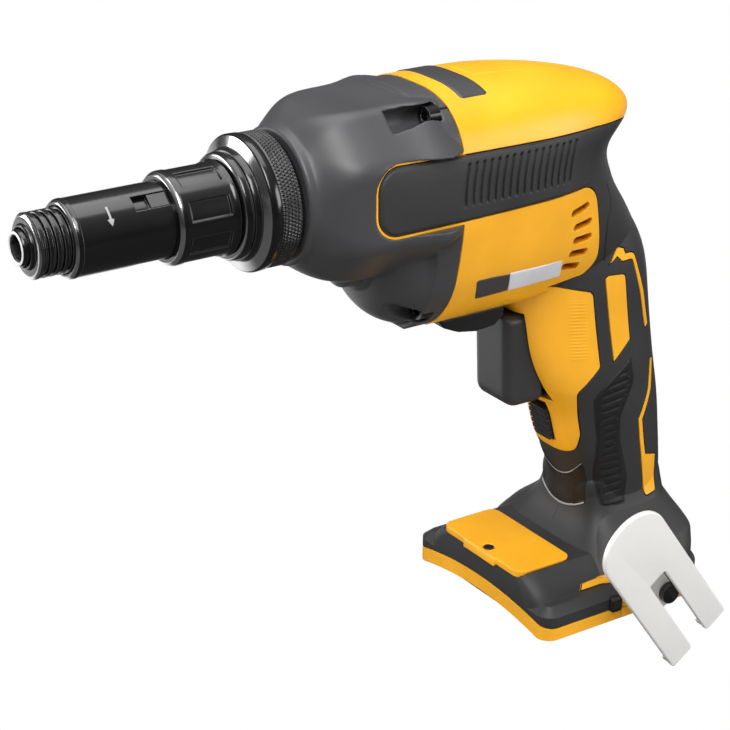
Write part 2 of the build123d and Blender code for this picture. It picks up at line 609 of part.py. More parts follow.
# Screws that close the two halves
pin_r, head_r, head_y, head_h = 1.65, 3.3, 9.0, 2.6
pin_end_y = -8.5
left_cuts, right_cuts, skin_cuts = [cover_screw_hole], [cover_screw_hole], [cover_screw_hole]
housing_screws = Part()
for x, z in boss_places:
    left_cuts.append(cross_rod(pin_end_y - 1, 0, pin_r + run_gap, x, z))
    right_cuts += [cross_rod(0, 40, pin_r + 0.5, x, z), cross_rod(head_y, 60, head_r + 0.4, x, z)]
    skin_cuts.append(cross_rod(5, 60, head_r + 0.4, x, z))
    pin = cross_rod(pin_end_y, head_y + 1, pin_r, x, z)
    housing_screws = housing_screws + [pin, cross_rod(head_y, head_y + head_h, head_r, x, z)]
left_housing = left_housing - left_cuts
right_housing = right_housing - right_cuts
left_grip = left_grip - cover_screw_hole
right_grip = right_grip - skin_cuts

# Plates left bare on the top and both sides
plate_t = 0.35
raised = body_solid(-plate_t)
long_body = body_solid(0.0)
top_badge = (raised & block(-63, -53, -17.2, 17.2, 172, 200)) - long_body
label_outline = [(-61.0, 127.9), (-27.2, 127.7), (-25.3, 120.6), (-58.8, 120.3)]
left_label = (raised & side_prism(label_outline, -60, -10)) - long_body
right_label = mirrored(left_label)

# Trigger with its switch, and the direction selector under the chin
trigger_outline = [
    (-36.8, 104.4), (-35.3, 72.3, 5.5), (-19.5, 72.3, 2.0), (-19.5, 104.4),
]
trigger_rear_x = -19.5
trigger_half_w = 8.9
trigger_travel = 6.0
stem_z = 92.0
stem_r = 3.0
trigger = side_prism(trigger_outline, -trigger_half_w, trigger_half_w)
side_edges = trigger.edges().filter_by(lambda edge: abs(edge.center().Y) > trigger_half_w - 0.1)
trigger = fillet(side_edges.filter_by(lambda edge: edge.center().X < -26), 2.8)
trigger = trigger + rod(trigger_rear_x - 1.5, -4, stem_r, z=stem_z)
switch_body = switch_body - rod(switch_x0 - 1, 6, stem_r + free_gap, z=stem_z)
trigger_spring = coil(trigger_rear_x + run_gap, switch_x0 - run_gap, 4.4, 0.5, 5, stem_z)
pad_outline = [
    (-63.0, 109.6), (-60.5, 106.4), (-55.0, 104.0), (-48.0, 102.8),
    (-41.0, 103.4), (-37.6, 106.0), (-37.4, 109.6),
]
pad_half_w = 8.5
direction_selector = side_prism(pad_outline, -pad_half_w, pad_half_w)
direction_selector = direction_selector + block(-43.5, -37.5, -4.0, 4.0, 108.0, 113.6)

# Controller, leads and the battery rail in the foot
lead_r = 0.9
lead_x, lead_z = 15.8, 115.2
motor_leads = Part()
for y in (-6.0, 0.0, 6.0):
    corners = [(-32.0, motor_z - coil_out_r), (-32.0, lead_z), (lead_x, lead_z), (lead_x, control_z1)]
    path = Polyline(*[(x, y, z) for x, z in corners])
    lead_end = Plane(path @ 0, z_dir=path % 0) * Circle(lead_r)
    motor_leads = motor_leads + sweep(lead_end, path=path, transition=Transition.RIGHT)
channel_half_w, channel_z = 22.5, 8.0
mouth_half_w, mouth_z = 19.5, 3.4
channel_x = foot_front_x + 10.4
rail_base_h, rail_top_z = 4.9, 9.8
battery_rail = extrude(foot_plan(wall + 0.25, 0.0), rail_base_h)
battery_rail = battery_rail & block(foot_front_x + 3.6, foot_rear_x - 2.4, -60, 60, 0, 9)
roof_half_w = channel_half_w + 0.5
battery_rail = battery_rail + block(channel_x - 4, 26, -roof_half_w, roof_half_w, 4.0, rail_top_z)
battery_rail = battery_rail - [
    block(channel_x, 60, -channel_half_w, channel_half_w, mouth_z, channel_z),
    block(channel_x, 60, -mouth_half_w, mouth_half_w, -1, channel_z),
    cross_rod(-60, -24.5, hook_screw_r, hook_screw_x, hook_screw_z),
    cross_rod(24.5, 60, hook_screw_r, hook_screw_x, hook_screw_z),
]
contacts = [block(-12, 6, y - 0.5, y + 0.5, 4.4, 7.4) for y in (-12.0, -4.0, 4.0, 12.0)]
battery_contacts = joined(contacts)
terminal_block = block(channel_x, -9, -17, 17, mouth_z + 0.4, channel_z) - contacts

# Chip cover on the crown of the foot, held by one screw
cover_h = 1.0
cover_corner_r = 3.6
cover_head_z = 18.8
cover_head_r, cover_head_h = 1.8, 0.45
cover_x = crown_mid_x - 17.3
cover_len, cover_half_w, tab_half_w = 22.2, 21.6, 8.6
cover_plan = RectangleRounded(cover_len, 2 * cover_half_w, cover_corner_r)
cover_zone = extrude(Pos(cover_x + cover_len / 2, 0, 17.0) * cover_plan, 7.0)
cover_zone = cover_zone + block(cover_x - 4, cover_x + 7, -tab_half_w, tab_half_w, 16.2, 24.0)
chip_cover = (crown_solid(-cover_h) & cover_zone) - outer
chip_cover = chip_cover - [cover_screw_hole, post(cover_head_z, 30, cover_head_r + 0.3, *cover_screw)]
chip_cover_screw = post(13.0, cover_head_z + 0.2, cover_screw_r, *cover_screw)
cover_head = post(cover_head_z, cover_head_z + cover_head_h, cover_head_r, *cover_screw)
chip_cover_screw = chip_cover_screw + cover_head

# Belt hook: forked plate beside the foot, held by a bent tongue
hook_face_y = -foot_half_w - 9.5
hook_t = 2.2
hook_tilt = math.radians(54.5)
hook_half_w = 13.4
hook_mid_e = 10.9
hook_top_s, hook_end_s, hook_slot_s = -41.4, 22.8, -13.0
hook_slot_half = 3.8


def hook_xz(s, e):
    c, t = math.cos(hook_tilt), math.sin(hook_tilt)
    return (s * c + e * t, e * c - s * t)


def hook_prism(corners, y0, y1):
    return side_prism([hook_xz(s, e) for s, e in corners], y0, y1)


def hook_bar(s0, s1, e0, e1, y0, y1):
    return hook_prism([(s0, e0), (s1, e0), (s1, e1), (s0, e1)], y0, y1)


hook_e0, hook_e1 = hook_mid_e - hook_half_w, hook_mid_e + hook_half_w
slot_e0, slot_e1 = hook_mid_e - hook_slot_half, hook_mid_e + hook_slot_half
hook_rise, hook_curl, leg_len = 10.5, 5.5, 20.0
round_top = []
for i in range(13):
    a = math.pi * i / 12
    round_top.append((hook_top_s + hook_rise * (1 - math.sin(a)), hook_mid_e - hook_half_w * math.cos(a)))
hook_outline = [(hook_end_s, hook_e0), *round_top, (hook_end_s, hook_e1)]
tongue_s = hook_slot_s - hook_t
foot_side_y = -foot_half_w
hook_head_y = foot_side_y - hook_t
belt_hook = hook_prism(hook_outline, hook_face_y, hook_face_y + hook_t)
belt_hook = belt_hook - hook_bar(hook_slot_s, 40, slot_e0, slot_e1, -60, -30)
belt_hook = belt_hook + [
    hook_bar(tongue_s, hook_slot_s, slot_e0, slot_e1, hook_face_y, foot_side_y),
    hook_bar(tongue_s, hook_slot_s + leg_len, slot_e0 - 1.5, slot_e1 + 1.5, hook_head_y, foot_side_y),
    hook_bar(hook_end_s - hook_t, hook_end_s, hook_e0, slot_e0, hook_face_y, hook_face_y + hook_curl),
    hook_bar(hook_end_s - hook_t, hook_end_s, slot_e1, hook_e1, hook_face_y, hook_face_y + hook_curl),
]
belt_hook = belt_hook - cross_rod(-45, -30, hook_screw_r + 0.2, hook_screw_x, hook_screw_z)
belt_hook_screw = cross_rod(hook_head_y - 2.2, hook_head_y, 3.6, hook_screw_x, hook_screw_z)
hook_shank = cross_rod(hook_head_y - 1, -25.5, hook_screw_r - run_gap, hook_screw_x, hook_screw_z)
belt_hook_screw = belt_hook_screw + hook_shank

nodes = {
    "gear_case": gear_case, "gear_case_screws": gear_case_screws, "bearing_plate": bearing_plate,
    "spindle_front_bearing": spindle_front_bearing, "spindle_rear_bearing": spindle_rear_bearing,
    "drive_shaft": drive_shaft, "spindle_gear": spindle_gear,
    "bit_spindle": bit_spindle, "bit_magnet": bit_magnet,
    "clutch_spring": clutch_spring, "nose_bush": nose_bush,
    "nose_barrel": nose_barrel, "depth_locator": depth_locator,
    "depth_collar": depth_collar, "lock_ring": lock_ring, "motor_shaft": motor_shaft, "pinion": pinion,
    "rotor_core": rotor_core, "stator": stator, "windings": windings, "cooling_fan": cooling_fan,
    "motor_front_bearing": motor_front_bearing, "pinion_front_bearing": pinion_front_bearing,
    "motor_rear_bearing": motor_rear_bearing, "motor_end_plate": motor_end_plate,
    "left_housing": left_housing, "right_housing": right_housing,
    "left_grip": left_grip, "right_grip": right_grip,
    "housing_screws": housing_screws, "top_badge": top_badge,
    "left_label": left_label, "right_label": right_label,
    "trigger": trigger, "trigger_spring": trigger_spring, "switch_body": switch_body,
    "direction_selector": direction_selector, "lock_slide": lock_slide,
    "controller": controller, "motor_leads": motor_leads, "battery_rail": battery_rail,
    "terminal_block": terminal_block, "battery_contacts": battery_contacts,
    "chip_cover": chip_cover, "chip_cover_screw": chip_cover_screw,
    "belt_hook": belt_hook, "belt_hook_screw": belt_hook_screw,
}
for name, shape in nodes.items():
    export_step(shape, f"parts/{name}.step")
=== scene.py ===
import json
import math

import bmesh
import bpy
from mathutils import Matrix, Vector
from mathutils.bvhtree import BVHTree


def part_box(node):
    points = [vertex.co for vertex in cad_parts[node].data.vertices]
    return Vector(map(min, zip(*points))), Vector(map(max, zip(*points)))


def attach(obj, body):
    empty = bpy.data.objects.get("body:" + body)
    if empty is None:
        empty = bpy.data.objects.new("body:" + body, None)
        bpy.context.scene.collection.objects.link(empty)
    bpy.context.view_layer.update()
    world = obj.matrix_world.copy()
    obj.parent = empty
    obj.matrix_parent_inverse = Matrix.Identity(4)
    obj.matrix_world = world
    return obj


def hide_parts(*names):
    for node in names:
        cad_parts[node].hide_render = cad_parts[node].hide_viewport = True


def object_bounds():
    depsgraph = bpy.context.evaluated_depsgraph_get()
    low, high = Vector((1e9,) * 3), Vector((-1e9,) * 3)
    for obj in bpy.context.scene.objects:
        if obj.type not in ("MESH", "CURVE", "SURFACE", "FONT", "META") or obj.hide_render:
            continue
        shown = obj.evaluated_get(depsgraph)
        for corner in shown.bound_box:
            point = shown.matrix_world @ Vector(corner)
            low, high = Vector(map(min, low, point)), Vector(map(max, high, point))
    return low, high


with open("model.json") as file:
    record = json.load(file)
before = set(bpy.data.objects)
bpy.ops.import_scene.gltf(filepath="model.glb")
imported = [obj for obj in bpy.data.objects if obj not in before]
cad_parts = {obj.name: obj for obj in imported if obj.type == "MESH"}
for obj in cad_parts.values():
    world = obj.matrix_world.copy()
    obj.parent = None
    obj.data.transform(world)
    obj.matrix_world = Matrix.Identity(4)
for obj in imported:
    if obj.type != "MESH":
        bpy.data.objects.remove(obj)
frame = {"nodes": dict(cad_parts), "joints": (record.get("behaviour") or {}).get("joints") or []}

mm = 0.001
hair = 0.01             # millimetres by which a skin's border or a limit is cleared
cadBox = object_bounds()
nodes = frame["nodes"]
jointAt = {joint["name"]: joint for joint in frame["joints"]}
axisZ = jointAt["spindle_spin"]["pos_m"][2] / mm    # height of the spindle axis
print("frame:", len(nodes), "nodes")


# Shader groups shared by all finishes
shading = {"grainMm": 0.3, "grainDetail": 2.0, "cloudMm": 25.0, "cloudDetail": 4.0, "cloudSpan": (0.3, 0.7),
           "clouding": 0.09, "unevenness": 1.8, "roundMm": 0.35, "roundSamples": 6, "edgeGain": 6.0,
           "breakupMm": 3.0, "breakupDetail": 5.0, "bumpMm": 0.2, "coatRough": 0.12}


def newGroup(name, inputs, outputs):
    group = bpy.data.node_groups.new(name, "ShaderNodeTree")
    for title, value in inputs.items():
        socket = group.interface.new_socket(title, in_out="INPUT", socket_type="NodeSocketFloat")
        socket.default_value = value
    for title, kind in outputs.items():
        group.interface.new_socket(title, in_out="OUTPUT", socket_type="NodeSocket" + kind)
    return group, group.nodes.new("NodeGroupInput"), group.nodes.new("NodeGroupOutput")


def mathNode(tree, operation, first, second=None, clamp=False):
    node = tree.nodes.new("ShaderNodeMath")
    node.operation, node.use_clamp = operation, clamp
    for socket, value in zip(node.inputs, (first, second)):
        if hasattr(value, "is_output"):
            tree.links.new(value, socket)
        elif value is not None:
            socket.default_value = value
    return node.outputs[0]


def makeGrainGroup():
    sizes = {"Grain mm": shading["grainMm"], "Cloud mm": shading["cloudMm"]}
    group, given, result = newGroup("mouldGrain", sizes, {"Grain": "Float", "Cloud": "Float"})
    place = group.nodes.new("ShaderNodeTexCoord")
    for title, detail in (("Grain", shading["grainDetail"]), ("Cloud", shading["cloudDetail"])):
        noise = group.nodes.new("ShaderNodeTexNoise")
        noise.inputs["Detail"].default_value = detail
        group.links.new(place.outputs["Object"], noise.inputs["Vector"])
        scale = mathNode(group, "DIVIDE", 1 / mm, given.outputs[title + " mm"])
        group.links.new(scale, noise.inputs["Scale"])
        group.links.new(noise.outputs["Fac"], result.inputs[title])
    return group


def makeEdgeGroup():
    sizes = {"Round mm": shading["roundMm"], "Breakup mm": shading["breakupMm"]}
    group, given, result = newGroup("edgeWearAndHighlight", sizes, {"Mask": "Float", "Normal": "Vector"})
    rounding = group.nodes.new("ShaderNodeBevel")
    rounding.samples = shading["roundSamples"]
    group.links.new(mathNode(group, "MULTIPLY", given.outputs["Round mm"], mm), rounding.inputs["Radius"])
    surface = group.nodes.new("ShaderNodeNewGeometry")
    turn = group.nodes.new("ShaderNodeVectorMath")
    turn.operation = "DOT_PRODUCT"
    group.links.new(rounding.outputs["Normal"], turn.inputs[0])
    group.links.new(surface.outputs["Normal"], turn.inputs[1])
    # edges found by the rounded normal carry paler rubbed wear that is also a painted edge highlight
    bend = mathNode(group, "SUBTRACT", 1.0, turn.outputs["Value"])
    edge = mathNode(group, "MULTIPLY", bend, shading["edgeGain"], True)
    place = group.nodes.new("ShaderNodeTexCoord")
    noise = group.nodes.new("ShaderNodeTexNoise")
    noise.inputs["Detail"].default_value = shading["breakupDetail"]
    group.links.new(place.outputs["Object"], noise.inputs["Vector"])
    group.links.new(mathNode(group, "DIVIDE", 1 / mm, given.outputs["Breakup mm"]), noise.inputs["Scale"])
    group.links.new(mathNode(group, "MULTIPLY", edge, noise.outputs["Fac"], True), result.inputs["Mask"])
    group.links.new(rounding.outputs["Normal"], result.inputs["Normal"])
    return group


grainGroup, edgeGroup = makeGrainGroup(), makeEdgeGroup()

# worn and wear: the paler edge colour and how much of it shows, rubbed wear that is also a painted edge
# highlight
finishes = {
    "yellowPlastic": {"colour": (0.90, 0.415, 0.010), "rough": 0.36, "grain": 0.10, "grainMm": 0.35,
                      "wornAndHighlit": (1.0, 0.60, 0.12), "wearAndHighlight": 0.25, "spec": 0.45},
    "softGrip": {"colour": (0.030, 0.030, 0.031), "rough": 0.52, "grain": 0.22, "grainMm": 0.30,
                 "wornAndHighlit": (0.085, 0.085, 0.088), "wearAndHighlight": 0.4, "spec": 0.40},
    "darkGrip": {"colour": (0.011, 0.011, 0.012), "rough": 0.50, "grain": 0.25, "grainMm": 0.30,
                 "wornAndHighlit": (0.05, 0.05, 0.052), "wearAndHighlight": 0.35, "spec": 0.40},
    "castGrey": {"colour": (0.050, 0.050, 0.053), "rough": 0.42, "grain": 0.16, "grainMm": 0.45,
                 "wornAndHighlit": (0.15, 0.15, 0.155), "wearAndHighlight": 0.45, "spec": 0.50},
    "blackSteel": {"colour": (0.004, 0.004, 0.0045), "rough": 0.18, "grain": 0.03, "grainMm": 0.2,
                   "wornAndHighlit": (0.30, 0.30, 0.31), "wearAndHighlight": 0.5, "spec": 0.55, "coat": 0.15},
    "blackPlastic": {"colour": (0.012, 0.012, 0.013), "rough": 0.42, "grain": 0.12, "grainMm": 0.3,
                     "wornAndHighlit": (0.06, 0.06, 0.064), "wearAndHighlight": 0.3, "spec": 0.45},
    "triggerPlastic": {"colour": (0.032, 0.032, 0.034), "rough": 0.38, "grain": 0.10, "grainMm": 0.3,
                       "wornAndHighlit": (0.09, 0.09, 0.094), "wearAndHighlight": 0.3, "spec": 0.45},
    "brightSteel": {"colour": (0.66, 0.66, 0.67), "rough": 0.16, "grain": 0.04, "grainMm": 0.25,
                    "wornAndHighlit": (0.85, 0.85, 0.85), "wearAndHighlight": 0.3, "metal": 1.0, "spec": 0.5},
    "stainless": {"colour": (0.92, 0.91, 0.89), "rough": 0.26, "grain": 0.0, "grainMm": 0.25,
                  "wornAndHighlit": (0.95, 0.93, 0.90), "wearAndHighlight": 0.0, "metal": 0.2, "spec": 0.6, "clouding": 0.01},
    "plateGrey": {"colour": (0.050, 0.049, 0.052), "rough": 0.34, "grain": 0.03, "grainMm": 0.3,
                  "wornAndHighlit": (0.14, 0.14, 0.14), "wearAndHighlight": 0.2, "spec": 0.4},
    "plateLight": {"colour": (0.66, 0.66, 0.69), "rough": 0.30, "grain": 0.03, "grainMm": 0.3,
                   "wornAndHighlit": (0.8, 0.8, 0.8), "wearAndHighlight": 0.2, "spec": 0.4},
    "paleMark": {"colour": (0.34, 0.34, 0.34), "rough": 0.42, "grain": 0.05, "grainMm": 0.3,
                 "wornAndHighlit": (0.5, 0.5, 0.5), "wearAndHighlight": 0.2, "spec": 0.4},
    "copper": {"colour": (0.72, 0.33, 0.16), "rough": 0.35, "grain": 0.05, "grainMm": 0.3,
               "wornAndHighlit": (0.9, 0.6, 0.4), "wearAndHighlight": 0.3, "metal": 1.0, "spec": 0.5},
    "redLead": {"colour": (0.30, 0.02, 0.02), "rough": 0.5, "grain": 0.05, "grainMm": 0.3,
                "wornAndHighlit": (0.4, 0.1, 0.1), "wearAndHighlight": 0.2, "spec": 0.4},
}


def makeFinish(name, look):
    material = bpy.data.materials.new(name)
    material.use_nodes = True
    tree = material.node_tree
    shader = tree.nodes["Principled BSDF"]
    shader.inputs["Metallic"].default_value = look.get("metal", 0.0)
    shader.inputs["Specular IOR Level"].default_value = look["spec"]
    shader.inputs["Coat Weight"].default_value = look.get("coat", 0.0)
    shader.inputs["Coat Roughness"].default_value = shading["coatRough"]
    grain = tree.nodes.new("ShaderNodeGroup")
    grain.node_tree = grainGroup
    grain.inputs["Grain mm"].default_value = look["grainMm"]
    edge = tree.nodes.new("ShaderNodeGroup")
    edge.node_tree = edgeGroup
    edge.inputs["Round mm"].default_value = shading["roundMm"]
    # colour: slow clouding first, then paler rubbed edges that are also a painted edge highlight
    ramp = tree.nodes.new("ShaderNodeValToRGB")
    spread = look.get("clouding", shading["clouding"])
    dark = tuple((1 - spread) * c for c in look["colour"])
    pale = tuple(min(1.0, (1 + spread) * c) for c in look["colour"])
    for stop, position, tint in zip(ramp.color_ramp.elements, shading["cloudSpan"], (dark, pale)):
        stop.position, stop.color = position, (*tint, 1)
    tree.links.new(grain.outputs["Cloud"], ramp.inputs["Fac"])
    rubAndHighlight = tree.nodes.new("ShaderNodeMix")
    rubAndHighlight.data_type = "RGBA"
    tree.links.new(mathNode(tree, "MULTIPLY", edge.outputs["Mask"], look["wearAndHighlight"]), rubAndHighlight.inputs["Factor"])
    tree.links.new(ramp.outputs["Color"], rubAndHighlight.inputs["A"])
    rubAndHighlight.inputs["B"].default_value = (*look["wornAndHighlit"], 1)
    tree.links.new(rubAndHighlight.outputs["Result"], shader.inputs["Base Color"])
    # roughness follows the clouding, and the fine grain lifts the surface
    cloud = mathNode(tree, "SUBTRACT", grain.outputs["Cloud"], 0.5)
    uneven = mathNode(tree, "MULTIPLY", cloud, shading["unevenness"] * spread)
    tree.links.new(mathNode(tree, "ADD", uneven, look["rough"], True), shader.inputs["Roughness"])
    bump = tree.nodes.new("ShaderNodeBump")
    bump.inputs["Strength"].default_value = look["grain"]
    bump.inputs["Distance"].default_value = shading["bumpMm"] * mm
    tree.links.new(grain.outputs["Grain"], bump.inputs["Height"])
    tree.links.new(edge.outputs["Normal"], bump.inputs["Normal"])
    tree.links.new(bump.outputs["Normal"], shader.inputs["Normal"])
    return material


finish = {name: makeFinish(name, look) for name, look in finishes.items()}
print("finishes:", len(finish))

nodeFinish = {
    "yellowPlastic": ["left_housing", "right_housing", "chip_cover"],
    "softGrip": ["left_grip", "right_grip"],
    "castGrey": ["gear_case"],
    "blackSteel": ["gear_case_screws", "bit_spindle", "nose_barrel", "depth_locator", "depth_collar",
                   "lock_ring", "housing_screws", "chip_cover_screw", "belt_hook_screw"],
    "blackPlastic": ["cooling_fan", "motor_end_plate", "switch_body", "direction_selector", "lock_slide",
                     "controller", "battery_rail", "terminal_block"],
    "triggerPlastic": ["trigger"],
    "stainless": ["belt_hook"],
    "plateGrey": ["top_badge", "left_label", "right_label"],
    "copper": ["windings", "battery_contacts", "nose_bush"],
    "redLead": ["motor_leads"],
}
dressed = {node: name for name, group in nodeFinish.items() for node in group}
for nodeName, node in nodes.items():
    node.data.materials.clear()
    node.data.materials.append(finish[dressed.get(nodeName, "brightSteel")])


# Builders of the refined pieces; all lengths in millimetres, angles of creases in degrees
crease = 32.0
cornerShare = 0.45      # most of an edge that a rounded corner takes up
softenFactor = 0.5
patchForm = {"inset": 2 * hair, "under": 0.6, "reach": 60.0, "crease": 50.0}
plateForm = {"arcs": 4, "crease": 20.0}
viewFrom = {"side": 90.0, "front": -90.0, "top": 260.0}


def addPiece(name, verts, faces, looks, body, lookOf=None, stands=(), sharp=crease):
    mesh = bpy.data.meshes.new(name)
    mesh.from_pydata([Vector(v) * mm for v in verts], [], faces)
    shape = bmesh.new()
    shape.from_mesh(mesh)
    bmesh.ops.recalc_face_normals(shape, faces=shape.faces)
    shape.to_mesh(mesh)
    shape.free()
    for look in looks:
        mesh.materials.append(finish[look])
    if lookOf:
        mesh.polygons.foreach_set("material_index", lookOf)
    mesh.shade_smooth()
    mesh.set_sharp_from_angle(angle=math.radians(sharp))
    piece = bpy.data.objects.new(name, mesh)
    bpy.context.collection.objects.link(piece)
    if stands:
        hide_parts(*stands)
    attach(piece, body)
    return piece


def spun(name, profile, looks, body, steps, relief=None, lookAt=None, stands=(), sharp=crease, ends=None):
    # a profile of (x, radius) turned about the spindle axis; closed, or run to the axis at the two ends
    verts, faces, lookOf = [], [], []
    for x, radius in profile:
        for i in range(steps):
            t = 2 * math.pi * i / steps
            r = radius + (relief(x, radius, t) if relief else 0.0)
            verts.append((x, r * math.cos(t), axisZ + r * math.sin(t)))
    for k in range(len(profile) - 1 if ends else len(profile)):
        low, high = k * steps, (k + 1) % len(profile) * steps
        for i in range(steps):
            j = (i + 1) % steps
            faces.append((low + i, low + j, high + j, high + i))
            lookOf.append(lookAt(k) if lookAt else 0)
    for x, k in zip(ends or (), (0, len(profile) - 1)):
        verts.append((x, 0.0, axisZ))
        faces += [(len(verts) - 1, k * steps + i, k * steps + (i + 1) % steps) for i in range(steps)]
        lookOf += [lookAt(k) if lookAt else 0] * steps
    return addPiece(name, verts, faces, looks, body, lookOf, stands, sharp)


def brightOn(rows):
    return lambda k: 1 if k in rows else 0


def finer(profile, step, low, high):
    # adds points between neighbours of a profile where both lie in the band
    result = []
    for (x0, r0), (x1, r1) in zip(profile, profile[1:] + profile[:1]):
        result.append((x0, r0))
        if min(x0, x1) >= low and max(x0, x1) <= high:
            count = int(max(abs(x1 - x0), 1e-6) / step)
            result += [(x0 + (x1 - x0) * i / count, r0 + (r1 - r0) * i / count) for i in range(1, count)]
    return result


def softCorners(outline, radius, steps=5):
    # radius: one for all corners, or a list with one for each
    radii = radius if isinstance(radius, list) else [radius] * len(outline)
    result = []
    for i, corner in enumerate(outline):
        before, after, radius = outline[i - 1], outline[(i + 1) % len(outline)], radii[i]
        if not radius:
            result.append(tuple(corner))
            continue
        corner = Vector(corner)
        first, last = Vector(before) - corner, Vector(after) - corner
        start = corner + first.normalized() * min(radius, cornerShare * first.length)
        end = corner + last.normalized() * min(radius, cornerShare * last.length)
        for t in (k / steps for k in range(steps + 1)):
            result.append(tuple((1 - t) ** 2 * start + 2 * t * (1 - t) * corner + t ** 2 * end))
    return result


def surfaceOf(*names):
    verts, faces = [], []
    for name in names:
        base, mesh = len(verts), (nodes.get(name) or bpy.data.objects[name]).data
        verts += [v.co / mm for v in mesh.vertices]
        faces += [[base + i for i in polygon.vertices] for polygon in mesh.polygons]
    return BVHTree.FromPolygons(verts, faces)


sightLines = {
    "left": lambda u, v: (Vector((u, -viewFrom["side"], v)), Vector((0, 1, 0))),
    "right": lambda u, v: (Vector((u, viewFrom["side"], v)), Vector((0, -1, 0))),
    "frontTurned": lambda u, v: (Vector((viewFrom["front"], v, u)), Vector((1, 0, 0))),
    "top": lambda u, v: (Vector((u, v, viewFrom["top"])), Vector((0, 0, -1))),
}


def spanAt(outline, v):
    cuts = []
    for (u0, v0), (u1, v1) in zip(outline, outline[1:] + outline[:1]):
        if min(v0, v1) <= v < max(v0, v1):
            cuts.append(u0 + (u1 - u0) * (v - v0) / (v1 - v0))
    return min(cuts), max(cuts)


def patch(name, outline, side, surface, rows, columns, height, looks, body, lookAt=None, stands=()):
    # a skin laid on a surface inside an outline; height(u, v, rim) with rim the distance from the border
    low = min(v for u, v in outline) + patchForm["inset"]
    high = max(v for u, v in outline) - patchForm["inset"]
    tops, roots, lookOf = [], [], []
    for i in range(rows + 1):
        v = low + (high - low) * i / rows
        left, right = spanAt(outline, v)
        for j in range(columns + 1):
            u = left + (right - left) * j / columns
            rim = min(u - left, right - u, v - low, high - v)
            start, along = sightLines[side](u, v)
            hit = surface.ray_cast(start, along)[0]
            if hit is None:
                hit = surface.find_nearest(start + along * patchForm["reach"])[0]
            tops.append(hit - along * height(u, v, rim))
            roots.append(hit + along * patchForm["under"])
            if i < rows and j < columns:
                lookOf.append(lookAt(u, v, rim) if lookAt else 0)
    size, wide = len(tops), columns + 1
    cells = [(i * wide + j, i * wide + j + 1, (i + 1) * wide + j + 1, (i + 1) * wide + j)
             for i in range(rows) for j in range(columns)]
    border = list(range(wide)) + [i * wide + columns for i in range(1, rows + 1)]
    border += [rows * wide + j for j in range(columns - 1, -1, -1)]
    border += [i * wide for i in range(rows - 1, 0, -1)]
    faces = cells + [tuple(size + k for k in reversed(cell)) for cell in cells]
    faces += [(a, b, size + b, size + a) for a, b in zip(border, border[1:] + border[:1])]
    lookOf += [0] * (len(faces) - len(lookOf))
    return addPiece(name, tops + roots, faces, looks, body, lookOf, stands, patchForm["crease"])


def castCopy(nodeName, name, look, body, voxel, passes):
    # the CAD shape with its edges rounded over, as a casting or moulding has them
    mesh = nodes[nodeName].data.copy()
    piece = bpy.data.objects.new(name, mesh)
    bpy.context.collection.objects.link(piece)
    grid = piece.modifiers.new("grid", "REMESH")
    grid.mode, grid.voxel_size, grid.use_smooth_shade = "VOXEL", voxel * mm, True
    soften = piece.modifiers.new("soften", "SMOOTH")
    soften.factor, soften.iterations = softenFactor, passes
    shaped = piece.evaluated_get(bpy.context.evaluated_depsgraph_get())
    piece.data = bpy.data.meshes.new_from_object(shaped)
    piece.modifiers.clear()
    piece.data.name = name
    piece.data.materials.clear()
    piece.data.materials.append(finish[look])
    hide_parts(nodeName)
    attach(piece, body)


def plate(name, outline, near, far, rounding, looks, body, stands=()):
    # a flat plate across Y with rounded edges; the outline is in (x, z)
    area = sum(a[0] * b[1] - b[0] * a[1] for a, b in zip(outline, outline[1:] + outline[:1]))
    turn = 1 if area > 0 else -1
    verts, inward = [], []
    for i, corner in enumerate(outline):
        corner = Vector(corner)
        first, last = corner - Vector(outline[i - 1]), Vector(outline[(i + 1) % len(outline)]) - corner
        first, last = (Vector((-turn * v.y, turn * v.x)).normalized() for v in (first, last))
        inward.append((first + last) / (1 + first.dot(last)))
    quarter = [math.pi / 2 * k / plateForm["arcs"] for k in range(plateForm["arcs"] + 1)]
    rows = [(near + rounding * (1 - math.sin(t)), rounding * (1 - math.cos(t))) for t in reversed(quarter)]
    rows += [(far - rounding * (1 - math.sin(t)), rounding * (1 - math.cos(t))) for t in quarter]
    for y, inset in rows:
        verts += [(x + inset * way.x, y, z + inset * way.y) for (x, z), way in zip(outline, inward)]
    size = len(outline)
    faces = [(k * size + i, k * size + (i + 1) % size, (k + 1) * size + (i + 1) % size, (k + 1) * size + i)
             for k in range(len(rows) - 1) for i in range(size)]
    faces += [tuple(range(size)), tuple((len(rows) - 1) * size + i for i in range(size))]
    return addPiece(name, verts, faces, looks, body, None, stands, plateForm["crease"])


def boxOf(nodeName):
    low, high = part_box(nodeName)
    return low / mm, high / mm


def rise(value, width):
    return min(1.0, max(0.0, value / width))


# Lock ring: lip, neck, polished flange, smooth band and diamond knurl
ringLow = boxOf("lock_ring")[0]
lockRing = {"steps": 660, "teeth": 110, "lead": 2.2, "depth": 0.36, "band": (9.7, 16.0), "inset": 0.1,
            "inside": 19.0, "blunt": 1.7, "cell": 0.24, "lipRow": 1, "flange": (4.85, 5.95),
            "flangeRadius": 16.7, "sharp": 38.0}
ringProfile = [
    (0.0, 11.7), (0.0, 15.1), (0.35, 15.6), (0.9, 15.9), (2.1, 15.9), (2.3, 15.5), (2.7, 15.5), (2.9, 16.2),
    (3.4, 16.5), (4.7, 16.6), (4.9, 16.9), (5.9, 19.9), (6.1, 20.2), (6.5, 20.4), (9.0, 20.4), (9.3, 20.2),
    (9.45, 19.75), (9.7, 19.75), (16.0, 19.75), (16.15, 19.6), (16.7, 19.5), (17.2, 19.0), (17.2, 14.3),
    (1.6, 14.3), (1.6, 11.7),
]
ringProfile = [(ringLow.x + x, r) for x, r in ringProfile]
